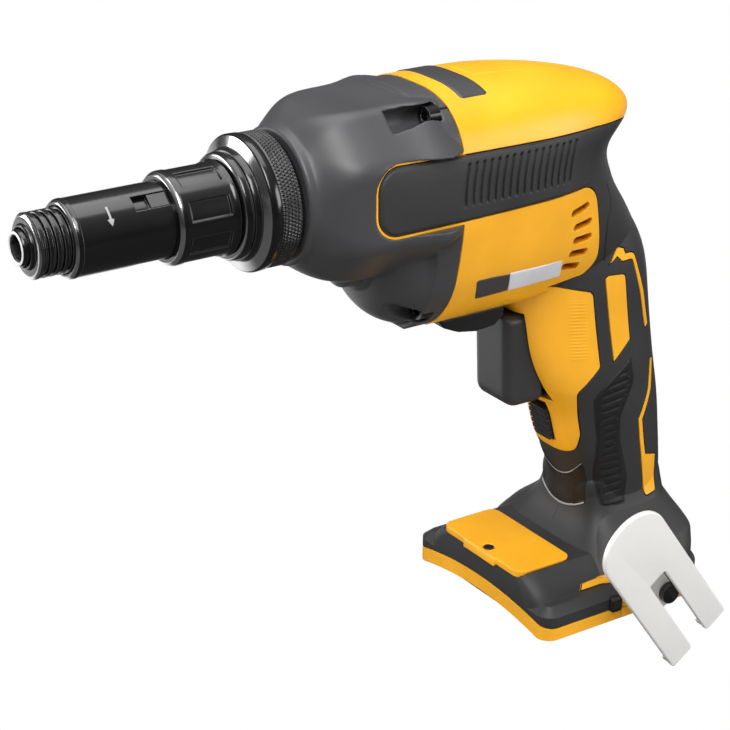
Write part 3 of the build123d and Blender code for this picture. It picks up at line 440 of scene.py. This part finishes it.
knurlLow, knurlHigh = (ringLow.x + x for x in lockRing["band"])
ringProfile = finer(ringProfile, lockRing["cell"], knurlLow - hair, knurlHigh + hair)
flangeLow, flangeHigh = (ringLow.x + x for x in lockRing["flange"])
flangeRows = [k for k, (x, r) in enumerate(ringProfile)
              if flangeLow < x < flangeHigh and r > lockRing["flangeRadius"]]


def zigzag(t):
    return abs(2 * (t - math.floor(t + 0.5)))


def knurl(x, r, t):
    if not knurlLow + lockRing["inset"] < x < knurlHigh - lockRing["inset"] or r < lockRing["inside"]:
        return 0.0
    turn, along = t * lockRing["teeth"] / (2 * math.pi), x / lockRing["lead"]
    point = min(zigzag(turn + along), zigzag(turn - along))
    return lockRing["depth"] * min(1.0, lockRing["blunt"] * point)


spun("lockRing", ringProfile, ["blackSteel", "brightSteel"], "nose_lock", lockRing["steps"], knurl,
     brightOn([lockRing["lipRow"]] + flangeRows[:1]), ["lock_ring"], lockRing["sharp"])

# Depth collar with long sunk panels
collarLow, collarHigh = boxOf("depth_collar")
collar = {"steps": 480, "panels": 8, "halfAngle": 0.225, "depth": 0.65, "ends": (3.4, 2.6), "edge": 0.3,
          "outside": 13.7, "cell": 0.2, "finerEnds": (2.1, 1.4), "bright": (1, 2), "sharp": 30.0}
collarLength = collarHigh.x - collarLow.x
collarProfile = [(0.0, 11.4), (0.0, 12.5), (0.3, 13.0), (1.0, 13.55), (1.6, 13.75), (2.2, 13.8),
                 (collarLength - 1.5, 13.8), (collarLength - 1.1, 13.95), (collarLength - 0.5, 14.25),
                 (collarLength - 0.1, 14.25), (collarLength, 14.1), (collarLength, 11.4)]
collarProfile = [(collarLow.x + x, r) for x, r in collarProfile]
collarProfile = finer(collarProfile, collar["cell"], collarLow.x + collar["finerEnds"][0],
                      collarHigh.x - collar["finerEnds"][1])


def sunkPanel(x, r, t):
    if r < collar["outside"]:
        return 0.0
    pitch = 2 * math.pi / collar["panels"]
    offset = abs((t % pitch) - pitch / 2)
    inside = min((collar["halfAngle"] - offset) * r, x - collarLow.x - collar["ends"][0],
                 collarHigh.x - collar["ends"][1] - x)
    return -collar["depth"] * rise(inside, collar["edge"])


spun("depthCollar", collarProfile, ["blackSteel", "brightSteel"], "collar", collar["steps"], sunkPanel,
     brightOn(collar["bright"]), ["depth_collar"], collar["sharp"])

# Barrel and locator: polished front lips, and the step inside the thread
noseLips = {
    "barrelLip": {
        "node": "nose_barrel", "body": "tool", "bright": (1, 2),
        "profile": [(-0.15, 9.75), (-0.15, 10.35), (0.1, 10.7), (0.6, 11.1), (1.2, 11.38), (2.0, 11.42),
                    (2.0, 11.0), (1.0, 10.6), (0.3, 10.0), (0.3, 9.75)]},
    "locatorLip": {
        "node": "depth_locator", "body": "locator", "bright": (5, 6),
        "profile": [(-1.2, 5.7), (-1.2, 6.1), (-1.0, 6.4), (-0.6, 6.6), (-0.1, 6.6), (-0.1, 8.3), (0.1, 8.7),
                    (0.5, 9.2), (0.8, 9.42), (1.3, 9.45), (1.3, 9.0), (0.5, 8.8), (0.5, 5.7)]},
}
lipSteps = 160
for name, lip in noseLips.items():
    lipFront = boxOf(lip["node"])[0].x
    spun(name, [(lipFront + x, r) for x, r in lip["profile"]], ["blackSteel", "brightSteel"], lip["body"],
         lipSteps, None, brightOn(lip["bright"]))

# Bit holder: a sleeve with a pale front edge and a hexagon socket
holderLow, holderHigh = boxOf("bit_spindle")
socket = {"flat": 3.25, "depth": 24.0, "tip": 27.0, "rearBore": 18.0, "steps": 180, "pale": (7, 8, 9)}
holderLength = holderHigh.x - holderLow.x
holderProfile = [(holderLength - socket["rearBore"], 4.1), (holderLength, 4.1), (holderLength, 6.45),
                 (24.0, 6.45), (24.0, 5.2), (0.9, 5.2), (0.55, 5.1), (0.2, 4.85), (0.0, 4.55), (0.0, 4.2),
                 (0.3, 3.9), (0.7, socket["flat"]), (socket["depth"], socket["flat"])]


def hexagon(x, r, t):
    turned = (t % (math.pi / 3)) - math.pi / 6
    return socket["flat"] / math.cos(turned) - r if r == socket["flat"] else 0.0


def holderLook(k):
    # pale front edge, dark socket
    return 1 if k in socket["pale"] else 2 if k > socket["pale"][-1] else 0


spun("bitHolder", [(holderLow.x + x, r) for x, r in holderProfile], ["blackSteel", "stainless", "darkGrip"],
     "bit_holder", socket["steps"], hexagon, holderLook, ["bit_spindle"],
     ends=(holderHigh.x - socket["rearBore"], holderLow.x + socket["tip"]))

# Pale arrow on the barrel that shows which way the collar turns
turnArrow = {"x": -175.2, "low": 162.8, "head": 164.6, "high": 167.3, "halfHead": 1.1, "halfShaft": 0.34,
             "rows": 24, "columns": 6, "lift": 0.05}


def arrowOutline(mark):
    head, shaft = mark["halfHead"], mark["halfShaft"]
    half = [(head, mark["head"]), (shaft, mark["head"]), (shaft, mark["high"])]
    left = [(mark["x"] - u, v) for u, v in reversed(half)]
    return [(mark["x"], mark["low"])] + [(mark["x"] + u, v) for u, v in half] + left


patch("turnArrow", arrowOutline(turnArrow), "left", surfaceOf("nose_barrel"), turnArrow["rows"],
      turnArrow["columns"], lambda u, v, rim: turnArrow["lift"], ["paleMark"], "tool")
print("nose: lock ring, collar, lips, bit holder and arrow")

# Castings and mouldings with rounded edges
castings = {
    "gearCase": {"node": "gear_case", "look": "castGrey", "body": "tool", "voxel": 0.4, "passes": 2},
    "triggerCap": {"node": "trigger", "look": "triggerPlastic", "body": "trigger", "voxel": 0.4,
                   "passes": 12},
    "chipCover": {"node": "chip_cover", "look": "yellowPlastic", "body": "tool", "voxel": 0.3, "passes": 4},
    "selectorPad": {"node": "direction_selector", "look": "blackPlastic", "body": "selector", "voxel": 0.4,
                    "passes": 12},
}
for name, form in castings.items():
    castCopy(form["node"], name, form["look"], form["body"], form["voxel"], form["passes"])
print("castings: rounded copies")

# Belt hook: forked sheet, its bent tips, and the tongue that is screwed to the foot; its places run along and
# across the fork
hook = {"tilt": 54.5, "middle": 10.9, "half": 13.4, "top": -41.4, "rise": 10.5, "end": 22.8, "slot": -13.0,
        "slotHalf": 3.8, "sheet": 2.2, "tip": 5.5, "leg": 20.0, "legHalf": 5.3, "soft": 1.3, "rounding": 0.55,
        "arcs": 40, "barSoft": 0.7, "barArcs": 4, "barRounding": 0.4, "tipInset": 0.4, "bend": 0.6}
hookNear, hookFar = (corner.y for corner in boxOf("belt_hook"))


def onHook(along, across):
    c, t = math.cos(math.radians(hook["tilt"])), math.sin(math.radians(hook["tilt"]))
    return (along * c + across * t, across * c - along * t)


def hookBar(name, start, end, low, high, near, far):
    corners = [onHook(start, low), onHook(end, low), onHook(end, high), onHook(start, high)]
    outline = softCorners(corners, hook["barSoft"], hook["barArcs"])
    plate(name, outline, near, far, hook["barRounding"], ["stainless"], "tool", ["belt_hook"])


left, right = hook["middle"] - hook["half"], hook["middle"] + hook["half"]
slotLow, slotHigh = hook["middle"] - hook["slotHalf"], hook["middle"] + hook["slotHalf"]
turns = [math.pi * i / hook["arcs"] for i in range(hook["arcs"] + 1)]
dome = [(hook["top"] + hook["rise"] * (1 - math.sin(t)), hook["middle"] - hook["half"] * math.cos(t))
        for t in turns]
fork = [(hook["end"], left), *dome, (hook["end"], right), (hook["end"], slotHigh), (hook["slot"], slotHigh),
        (hook["slot"], slotLow), (hook["end"], slotLow)]
forkSoft = [hook["soft"]] + [0.0] * len(dome) + [hook["soft"]] * 5
forkOutline = softCorners([onHook(*spot) for spot in fork], forkSoft)
plate("beltHook", forkOutline, hookNear, hookNear + hook["sheet"], hook["rounding"], ["stainless"], "tool",
      ["belt_hook"])
tipStart, tipNear, tipFar = hook["end"] - hook["sheet"], hookNear + hook["bend"], hookNear + hook["tip"]
tipInset = hook["tipInset"]
hookBar("hookTipLow", tipStart, hook["end"], left + tipInset, slotLow - tipInset, tipNear, tipFar)
hookBar("hookTipHigh", tipStart, hook["end"], slotHigh + tipInset, right - tipInset, tipNear, tipFar)
tongueStart = hook["slot"] - hook["sheet"]
hookBar("hookTongue", tongueStart, hook["slot"], slotLow, slotHigh, tipNear, hookFar)
hookBar("hookLeg", tongueStart, hook["slot"] + hook["leg"], hook["middle"] - hook["legHalf"],
        hook["middle"] + hook["legHalf"], hookFar - hook["sheet"], hookFar)
print("belt hook: fork, tips, tongue and leg")

# Side panel: a low pillow with a row of slim bowed grooves, painted dark inside as painted shade
sides = ("left", "right")
gripTree = {side: surfaceOf(side + "_grip") for side in sides}
shellTree = {side: surfaceOf(side + "_housing") for side in sides}
sidePanel = {"outline": [(-98.9, 149.5), (-17.0, 151.0), (-17.0, 168.6), (-98.9, 169.9)],
             "corners": [8.5, 0.5, 0.5, 9.0], "arcs": 9, "lift": 0.5, "edge": 1.0, "fade": 9.0, "rows": 56,
             "columns": 480}
grooves = {"count": 16, "first": (-69.3, -67.9), "last": (-28.9, -26.6), "levels": (154.5, 167.1), "bow": 1.1,
           "depth": 0.5, "width": 0.62, "floor": 0.25, "past": 0.3, "slope": 0.6, "shadePast": 0.2,
           "shadeInset": 0.12}


def grooveX(index, v):
    t = (v - grooves["levels"][0]) / (grooves["levels"][1] - grooves["levels"][0])
    share = index / (grooves["count"] - 1)
    low = grooves["first"][0] + share * (grooves["last"][0] - grooves["first"][0])
    high = grooves["first"][1] + share * (grooves["last"][1] - grooves["first"][1])
    return low + (high - low) * t - 2 * grooves["bow"] * t * (1 - t)


def grooveGap(u, v):
    return min(abs(u - grooveX(i, v)) for i in range(grooves["count"]))


# groove floors and walls take the dark grip colour: painted shade in the grooves
def grooveShadeLook(u, v, rim):
    low, high = grooves["levels"]
    if not low - grooves["shadePast"] < v < high + grooves["shadePast"]:
        return 0
    return 1 if grooveGap(u, v) < grooves["width"] - grooves["shadeInset"] else 0


def grooved(u, v, rim):
    rearEnd, (low, high), floorHalf = sidePanel["outline"][1][0], grooves["levels"], grooves["floor"]
    base = sidePanel["lift"] * rise(rim, sidePanel["edge"]) ** 0.5 * rise(rearEnd - u, sidePanel["fade"])
    inLevel = rise(min(v - low, high - v) + grooves["past"], grooves["slope"])
    cut = grooves["depth"] * inLevel * (1 - rise(grooveGap(u, v) - floorHalf, grooves["width"] - floorHalf))
    return base - min(cut, base) - hair


for side in sides:
    outline = softCorners(sidePanel["outline"], sidePanel["corners"], sidePanel["arcs"])
    patch(side + "SidePanel", outline, side, gripTree[side], sidePanel["rows"], sidePanel["columns"], grooved,
          ["softGrip", "darkGrip"], "tool", grooveShadeLook)

# Thin bead of the housing above the panel, where the rear flange of the gear case stands proud
panelBead = {"outline": [(-86.0, 170.2), (-68.5, 169.5), (-68.5, 170.5), (-86.0, 171.1)], "lift": 0.18,
             "start": 0.1, "edge": 0.4, "rows": 6, "columns": 90}


def beaded(u, v, rim):
    return panelBead["lift"] * rise(rim + panelBead["start"], panelBead["edge"])


for side in sides:
    beadTree = surfaceOf("gear_case", side + "_housing", side + "_grip")
    patch(side + "PanelBead", panelBead["outline"], side, beadTree, panelBead["rows"], panelBead["columns"],
          beaded, ["yellowPlastic"], "tool")

# Fuller rear of the foot, and a soft corner where the handle meets it: height, front, rear, half width and
# squareness of the rear
footLofts = {
    "footBell": {"levels": [(9.0, -13.0, 35.2, 33.8, 4.0), (13.5, -12.6, 35.7, 32.4, 4.4),
                            (17.0, -9.6, 35.9, 30.2, 5.0), (19.5, -7.0, 35.9, 28.4, 5.5),
                            (22.0, -5.2, 35.5, 25.4, 5.0), (24.5, -3.8, 34.8, 22.4, 4.2),
                            (27.5, -2.8, 33.8, 19.0, 3.6), (30.0, -2.2, 32.9, 16.7, 3.2),
                            (33.0, -1.5, 31.5, 15.0, 3.0)], "frontSquare": 4.5},
    "neckSkin": {"levels": [(31.0, -3.3, 20.0, 14.8, 3.9), (34.5, -3.75, 20.0, 14.93, 3.9),
                            (37.3, -3.75, 20.0, 14.95, 3.9), (39.2, -3.2, 20.0, 14.7, 3.9),
                            (42.0, -1.5, 20.0, 13.8, 3.9)], "frontSquare": 3.9},
}
loftSteps, loftAround = 6, 120


def eased(rows, steps):
    # a smooth run of rows through the given ones
    result = []
    for i in range(len(rows) - 1):
        before, after = rows[max(i - 1, 0)], rows[min(i + 2, len(rows) - 1)]
        for k in range(steps):
            t = k / steps
            result.append([0.5 * (2 * b + (c - a) * t + (2 * a - 5 * b + 4 * c - d) * t ** 2
                                  + (3 * b - a - 3 * c + d) * t ** 3)
                           for a, b, c, d in zip(before, rows[i], rows[i + 1], after)])
    return result + [list(rows[-1])]


def loftRing(z, front, rear, half, square, frontSquare):
    middle, ring = (front + rear) / 2, []
    for i in range(loftAround):
        t = 2 * math.pi * (i + 0.5) / loftAround
        power = 2 / (square if math.cos(t) > 0 else frontSquare)
        x = math.copysign(abs(math.cos(t)) ** power, math.cos(t)) * (rear - front) / 2
        y = math.copysign(abs(math.sin(t)) ** power, math.sin(t)) * half
        ring.append((middle + x, y, z))
    return ring


for name, form in footLofts.items():
    rings = [loftRing(*row, form["frontSquare"]) for row in eased(form["levels"], loftSteps)]
    loftFaces = []
    for k in range(len(rings) - 1):
        for i in range(loftAround):
            here, beside = k * loftAround + i, k * loftAround + (i + 1) % loftAround
            loftFaces.append((here, beside, beside + loftAround, here + loftAround))
    lastRing = (len(rings) - 1) * loftAround
    loftFaces += [tuple(range(loftAround)), tuple(range(lastRing, lastRing + loftAround))]
    addPiece(name, [spot for ring in rings for spot in ring], loftFaces, ["softGrip"], "tool")

# Ribbed pad on each side of the handle; its low rim in black plastic is a painted groove shadow
handlePad = {
    "outline": [(9.4, 84.4), (11.4, 75.3), (6.2, 63.1), (7.3, 54.2), (11.5, 40.0), (10.9, 30.1), (0.9, 30.9),
                (-1.4, 44.0), (-2.2, 56.2), (-5.4, 71.8), (-3.1, 75.1)],
    "soft": 1.6, "base": 0.03, "lift": 0.35, "slope": 0.6, "line": 0.6, "rows": 200, "columns": 60,
    "ribs": 0.24, "pitch": 2.9, "lean": 0.12, "ribSharp": 4, "ribInset": 1.9, "ribFade": 1.6,
    "dots": [(8.6, 77.6), (9.0, 74.6), (7.9, 71.4), (6.4, 66.2), (4.9, 63.4), (4.7, 58.6), (5.2, 54.2)],
    "dotRadius": 0.5, "dotFloor": 0.15, "dotDepth": 0.3,
}


def ribbed(u, v, rim):
    if rim < handlePad["line"]:
        return handlePad["base"]
    wave = 0.5 + 0.5 * math.cos(2 * math.pi * (v - handlePad["lean"] * u) / handlePad["pitch"])
    inner = rise(rim - handlePad["ribInset"], handlePad["ribFade"])
    rib = handlePad["ribs"] * inner * wave ** handlePad["ribSharp"]
    nearest = min(math.hypot(u - x, v - z) for x, z in handlePad["dots"])
    dotSlope = handlePad["dotRadius"] - handlePad["dotFloor"]
    dent = handlePad["dotDepth"] * (1 - rise(nearest - handlePad["dotFloor"], dotSlope))
    raised = handlePad["lift"] * rise(rim - handlePad["line"], handlePad["slope"]) - rib
    return handlePad["base"] + max(0.0, raised - dent)


# the pad's low rim takes black plastic: a painted groove shadow round the pad
def padRimShadeLook(u, v, rim):
    return 1 if rim < handlePad["line"] else 0


for side in sides:
    patch(side + "HandlePad", softCorners(handlePad["outline"], handlePad["soft"]), side,
          surfaceOf(side + "_grip", "neckSkin"), handlePad["rows"], handlePad["columns"], ribbed,
          ["darkGrip", "blackPlastic"], "tool", padRimShadeLook)

# Dark band round the front of the handle between two raised beads painted pale: painted highlights on the
# rubber's edges
frontBand = {"halfWidth": 11.4, "low": (27.4, 0.030), "high": (39.9, 0.053), "lift": 0.22, "bead": 0.55,
             "beadLift": 0.2, "spots": 21, "rows": 61, "columns": 50}


def bandEdge(key, y):
    level, curl = frontBand[key]
    return level + curl * y * y


def onBead(u, v):
    return min(u - bandEdge("low", v), bandEdge("high", v) - u) < frontBand["bead"]


def banded(u, v, rim):
    return frontBand["lift"] + (frontBand["beadLift"] if onBead(u, v) else 0.0)


# the beads take the pale mark colour: painted highlight
def beadHighlightLook(u, v, rim):
    return 1 if onBead(u, v) else 0


bandHalf = frontBand["spots"] // 2
bandRows = [frontBand["halfWidth"] * (i / bandHalf - 1) for i in range(frontBand["spots"])]
bandOutline = [(bandEdge("low", y), y) for y in bandRows]
bandOutline += [(bandEdge("high", y), y) for y in reversed(bandRows)]
wholeTree = surfaceOf("left_grip", "right_grip", "left_housing", "right_housing", "neckSkin")
patch("frontBand", bandOutline, "frontTurned", wholeTree, frontBand["rows"], frontBand["columns"], banded,
      ["darkGrip", "paleMark"], "tool", beadHighlightLook)

# Foot sides: a slim bar, a latch block and its tab; the bar's thin dark border is painted shade of its recess
footMarks = {
    "FootBar": {"outline": [(-18.8, 11.0), (-12.9, 11.0), (-5.6, 11.5), (-4.6, 14.1), (-11.2, 13.0),
                            (-17.5, 12.9)],
                "soft": 0.5, "lift": 0.25, "look": "yellowPlastic", "border": 0.28},
    "FootLatch": {"outline": [(-10.9, 3.9), (-6.4, 3.7), (-6.5, 9.0), (-11.0, 9.1)],
                  "soft": 1.0, "lift": 1.7, "look": "blackPlastic", "border": 0.0},
    "FootTab": {"outline": [(-5.9, 0.9), (-0.4, 0.7), (-0.9, 5.2), (-5.8, 7.0)],
                "soft": 1.2, "lift": 1.0, "look": "yellowPlastic", "border": 0.0},
}
footPatch = {"rows": 28, "columns": 48, "start": 0.1, "edge": 0.5}
for side in sides:
    footTree = surfaceOf(side + "_grip", side + "_housing", "footBell")
    for name, mark in footMarks.items():
        # the dark grip look on the bar's border is painted shade
        patch(side + name, softCorners(mark["outline"], mark["soft"]), side, footTree, footPatch["rows"],
              footPatch["columns"],
              lambda u, v, rim: mark["lift"] * rise(rim + footPatch["start"], footPatch["edge"]) ** 0.5,
              [mark["look"], "darkGrip"], "tool", lambda u, v, rim: 1 if rim < mark["border"] else 0)

# Parting line in the soft skin behind the vents, drawn as a thin dark strip: painted shade of its groove
partingLine = {"path": [(-7.1, 148.0), (-4.6, 141.5), (-7.6, 136.0), (-7.4, 128.0), (-5.0, 120.8)],
               "half": 0.35, "soft": 2.0, "lift": 0.05, "rows": 90, "columns": 4}
lineLeft = [(x - partingLine["half"], z) for x, z in partingLine["path"]]
lineRight = [(x + partingLine["half"], z) for x, z in reversed(partingLine["path"])]
for side in sides:
    patch(side + "PartingLine", softCorners(lineLeft + lineRight, partingLine["soft"]), side, gripTree[side],
          partingLine["rows"], partingLine["columns"], lambda u, v, rim: partingLine["lift"], ["darkGrip"],
          "tool")

# Fine ribs on the hard face of the handle
fineRibs = {"outline": [(-19.8, 110.0), (-11.0, 108.6), (-8.2, 86.6), (-16.6, 87.4)], "pitch": 1.15,
            "lean": 0.15, "lift": 0.16, "fade": 2.5, "rows": 150, "columns": 16}


def finelyRibbed(u, v, rim):
    wave = 0.5 + 0.5 * math.cos(2 * math.pi * (v + fineRibs["lean"] * u) / fineRibs["pitch"])
    return fineRibs["lift"] * rise(rim, fineRibs["fade"]) * wave - hair


for side in sides:
    patch(side + "FineRibs", fineRibs["outline"], side, shellTree[side], fineRibs["rows"],
          fineRibs["columns"], finelyRibbed, ["yellowPlastic"], "tool")

# Plates left bare: two-tone side label and top badge
labelPlate = {
    "Dark": [(-61.0, 127.9), (-48.3, 127.85), (-46.3, 120.4), (-58.8, 120.3)],
    "Light": [(-48.3, 127.85), (-27.2, 127.7), (-25.3, 120.6), (-46.3, 120.4)],
    "looks": {"Dark": "plateGrey", "Light": "plateLight"}, "soft": 0.8, "rows": 16, "columns": 40,
}
topBadge = {"soft": 1.2, "rows": 61, "columns": 16}
bareFace = {"lift": 0.3, "start": 0.05, "edge": 0.25}


def flatPlate(u, v, rim):
    return bareFace["lift"] * rise(rim + bareFace["start"], bareFace["edge"])


for side in sides:
    for half, look in labelPlate["looks"].items():
        patch(side + "Label" + half, softCorners(labelPlate[half], labelPlate["soft"]), side, shellTree[side],
              labelPlate["rows"], labelPlate["columns"], flatPlate, [look], "tool", stands=[side + "_label"])
topTree = surfaceOf("left_housing", "right_housing")
low, high = boxOf("top_badge")
badge = [(low.x, low.y), (high.x, low.y), (high.x, high.y), (low.x, high.y)]
patch("topBadge", softCorners(badge, topBadge["soft"]), "top", topTree, topBadge["rows"], topBadge["columns"],
      flatPlate, ["plateGrey"], "tool", stands=["top_badge"])

# Low raised strip along the top, fading towards the rear
topStrip = {"outline": [(-50.5, -6.2), (-23.0, -4.0), (-23.0, 4.0), (-50.5, 6.2)], "lift": 0.4, "slope": 0.9,
            "rows": 31, "columns": 60}


def fading(u, v, rim):
    start, end = topStrip["outline"][0][0], topStrip["outline"][1][0]
    return topStrip["lift"] * rise(rim, topStrip["slope"]) * rise(end - u, end - start) - 2 * hair


patch("topStrip", topStrip["outline"], "top", topTree, topStrip["rows"], topStrip["columns"], fading,
      ["yellowPlastic"], "tool")
print("patches: panels, foot, pads, ribs and plates")

# Floor, light and camera
floorSheet = {"size": 8, "gap": 0.1 * mm, "rough": 0.8, "bounced": 0.5, "darkToPale": (0.11, 0.19),
              "tones": (0.04, 0.80)}


def joinUp(tree, *pairs):
    for source, target in pairs:
        tree.links.new(source, target)


bpy.ops.mesh.primitive_plane_add(size=floorSheet["size"], location=(0, 0, cadBox[0].z - floorSheet["gap"]))
floor = bpy.context.object
floor.name = "floor"
floorPaint = bpy.data.materials.new("floorPaint")
floorPaint.use_nodes = True
paintTree = floorPaint.node_tree
paint = paintTree.nodes["Principled BSDF"]
paint.inputs["Roughness"].default_value = floorSheet["rough"]
# the camera sees plain white paper; light that bounces sees a greyer sheet
paper = paintTree.nodes.new("ShaderNodeEmission")
sightKind = paintTree.nodes.new("ShaderNodeLightPath")
chooser = paintTree.nodes.new("ShaderNodeMixShader")
tone = paintTree.nodes.new("ShaderNodeMix")
tone.data_type = "RGBA"
tone.inputs["A"].default_value = (floorSheet["bounced"], floorSheet["bounced"], floorSheet["bounced"], 1)
# reflections: a dark sheet before the tool that turns pale behind it
ground = paintTree.nodes.new("ShaderNodeTexCoord")
depth = paintTree.nodes.new("ShaderNodeSeparateXYZ")
sheet = paintTree.nodes.new("ShaderNodeMapRange")
sheet.inputs["From Min"].default_value, sheet.inputs["From Max"].default_value = floorSheet["darkToPale"]
sheet.inputs["To Min"].default_value, sheet.inputs["To Max"].default_value = floorSheet["tones"]
# seen from below the sheet is clear
clear = paintTree.nodes.new("ShaderNodeBsdfTransparent")
facing = paintTree.nodes.new("ShaderNodeNewGeometry")
sided = paintTree.nodes.new("ShaderNodeMixShader")
joinUp(paintTree,
       (ground.outputs["Object"], depth.inputs["Vector"]),
       (depth.outputs["Y"], sheet.inputs["Value"]),
       (sightKind.outputs["Is Glossy Ray"], tone.inputs["Factor"]),
       (sheet.outputs["Result"], tone.inputs["B"]),
       (tone.outputs["Result"], paint.inputs["Base Color"]),
       (facing.outputs["Backfacing"], sided.inputs[0]),
       (paper.outputs["Emission"], sided.inputs[1]),
       (clear.outputs["BSDF"], sided.inputs[2]),
       (sightKind.outputs["Is Camera Ray"], chooser.inputs[0]),
       (paint.outputs["BSDF"], chooser.inputs[1]),
       (sided.outputs["Shader"], chooser.inputs[2]),
       (chooser.outputs["Shader"], paintTree.nodes["Material Output"].inputs["Surface"]))
floor.data.materials.append(floorPaint)

# dark studio walls under a pale ceiling; the camera sees the same plain white as on the floor
studio = {"strength": 0.55, "levels": [(0.0, 0.10), (0.30, 0.14), (0.60, 0.45), (0.85, 1.0)]}
world = bpy.data.worlds.new("studio")
bpy.context.scene.world = world
world.use_nodes = True
worldTree = world.node_tree
heading = worldTree.nodes.new("ShaderNodeTexCoord")
split = worldTree.nodes.new("ShaderNodeSeparateXYZ")
shade = worldTree.nodes.new("ShaderNodeValToRGB")
for index, (position, level) in enumerate(studio["levels"]):
    stop = shade.color_ramp.elements[index] if index < 2 else shade.color_ramp.elements.new(position)
    stop.position, stop.color = position, (level, level, level, 1)
walls, backdrop = worldTree.nodes["Background"], worldTree.nodes.new("ShaderNodeBackground")
walls.inputs["Strength"].default_value = studio["strength"]
backdrop.inputs["Color"].default_value = (1, 1, 1, 1)
worldSight = worldTree.nodes.new("ShaderNodeLightPath")
worldChooser = worldTree.nodes.new("ShaderNodeMixShader")
joinUp(worldTree,
       (heading.outputs["Generated"], split.inputs["Vector"]),
       (split.outputs["Z"], shade.inputs["Fac"]),
       (shade.outputs["Color"], walls.inputs["Color"]),
       (worldSight.outputs["Is Camera Ray"], worldChooser.inputs[0]),
       (walls.outputs["Background"], worldChooser.inputs[1]),
       (backdrop.outputs["Background"], worldChooser.inputs[2]),
       (worldChooser.outputs["Shader"], worldTree.nodes["World Output"].inputs["Surface"]))

lamps = {
    "keyLamp": {"place": (-0.50, -0.55, 0.95), "aim": (-0.05, 0, 0.1), "size": 0.6, "watts": 11},
    "topLamp": {"place": (-0.05, 0.10, 1.0), "aim": (-0.05, 0, 0.1), "size": 0.8, "watts": 6},
    "sideLamp": {"place": (0.75, -0.75, 0.40), "aim": (0, 0, 0.1), "size": 0.5, "watts": 4.5},
    "rimLamp": {"place": (-0.75, 0.70, 0.30), "aim": (-0.1, 0, 0.12), "size": 0.5, "watts": 4},
}
for name, lamp in lamps.items():
    data = bpy.data.lights.new(name, "AREA")
    data.energy, data.size, data.shape = lamp["watts"], lamp["size"], "SQUARE"
    light = bpy.data.objects.new(name, data)
    bpy.context.collection.objects.link(light)
    light.location = lamp["place"]
    light.rotation_euler = (Vector(lamp["aim"]) - Vector(lamp["place"])).to_track_quat("-Z", "Y").to_euler()
bpy.context.scene.view_settings.view_transform = "Standard"

photoCamera = {"azimuth": -33.996, "elevation": 23.175, "roll": 0.483, "focalPixels": 2200.0,
               "framePixels": 730, "across": 95.388, "up": -31.639, "back": 599.553,
               "from": (-200.0, 0.0, 158.0), "clip": 0.01}
a, e, roll = (math.radians(photoCamera[key]) for key in ("azimuth", "elevation", "roll"))
back = Vector((math.sin(a) * math.cos(e), -math.cos(a) * math.cos(e), math.sin(e)))
right = Vector((math.cos(a), math.sin(a), 0.0))
up = back.cross(right)
tiltedRight = math.cos(roll) * right + math.sin(roll) * up
tiltedUp = math.cos(roll) * up - math.sin(roll) * right
cameraData = bpy.data.cameras.new("photoCamera")
cameraData.lens = cameraData.sensor_width * photoCamera["focalPixels"] / photoCamera["framePixels"]
cameraData.clip_start = photoCamera["clip"]
camera = bpy.data.objects.new("photoCamera", cameraData)
bpy.context.collection.objects.link(camera)
eye = Vector(photoCamera["from"]) + tiltedRight * photoCamera["across"] + tiltedUp * photoCamera["up"]
eye += back * photoCamera["back"]
axes = Matrix((tiltedRight, tiltedUp, back)).transposed().to_4x4()
camera.matrix_world = Matrix.Translation(eye * mm) @ axes
bpy.context.scene.camera = camera
print("camera at", [round(v, 3) for v in eye])
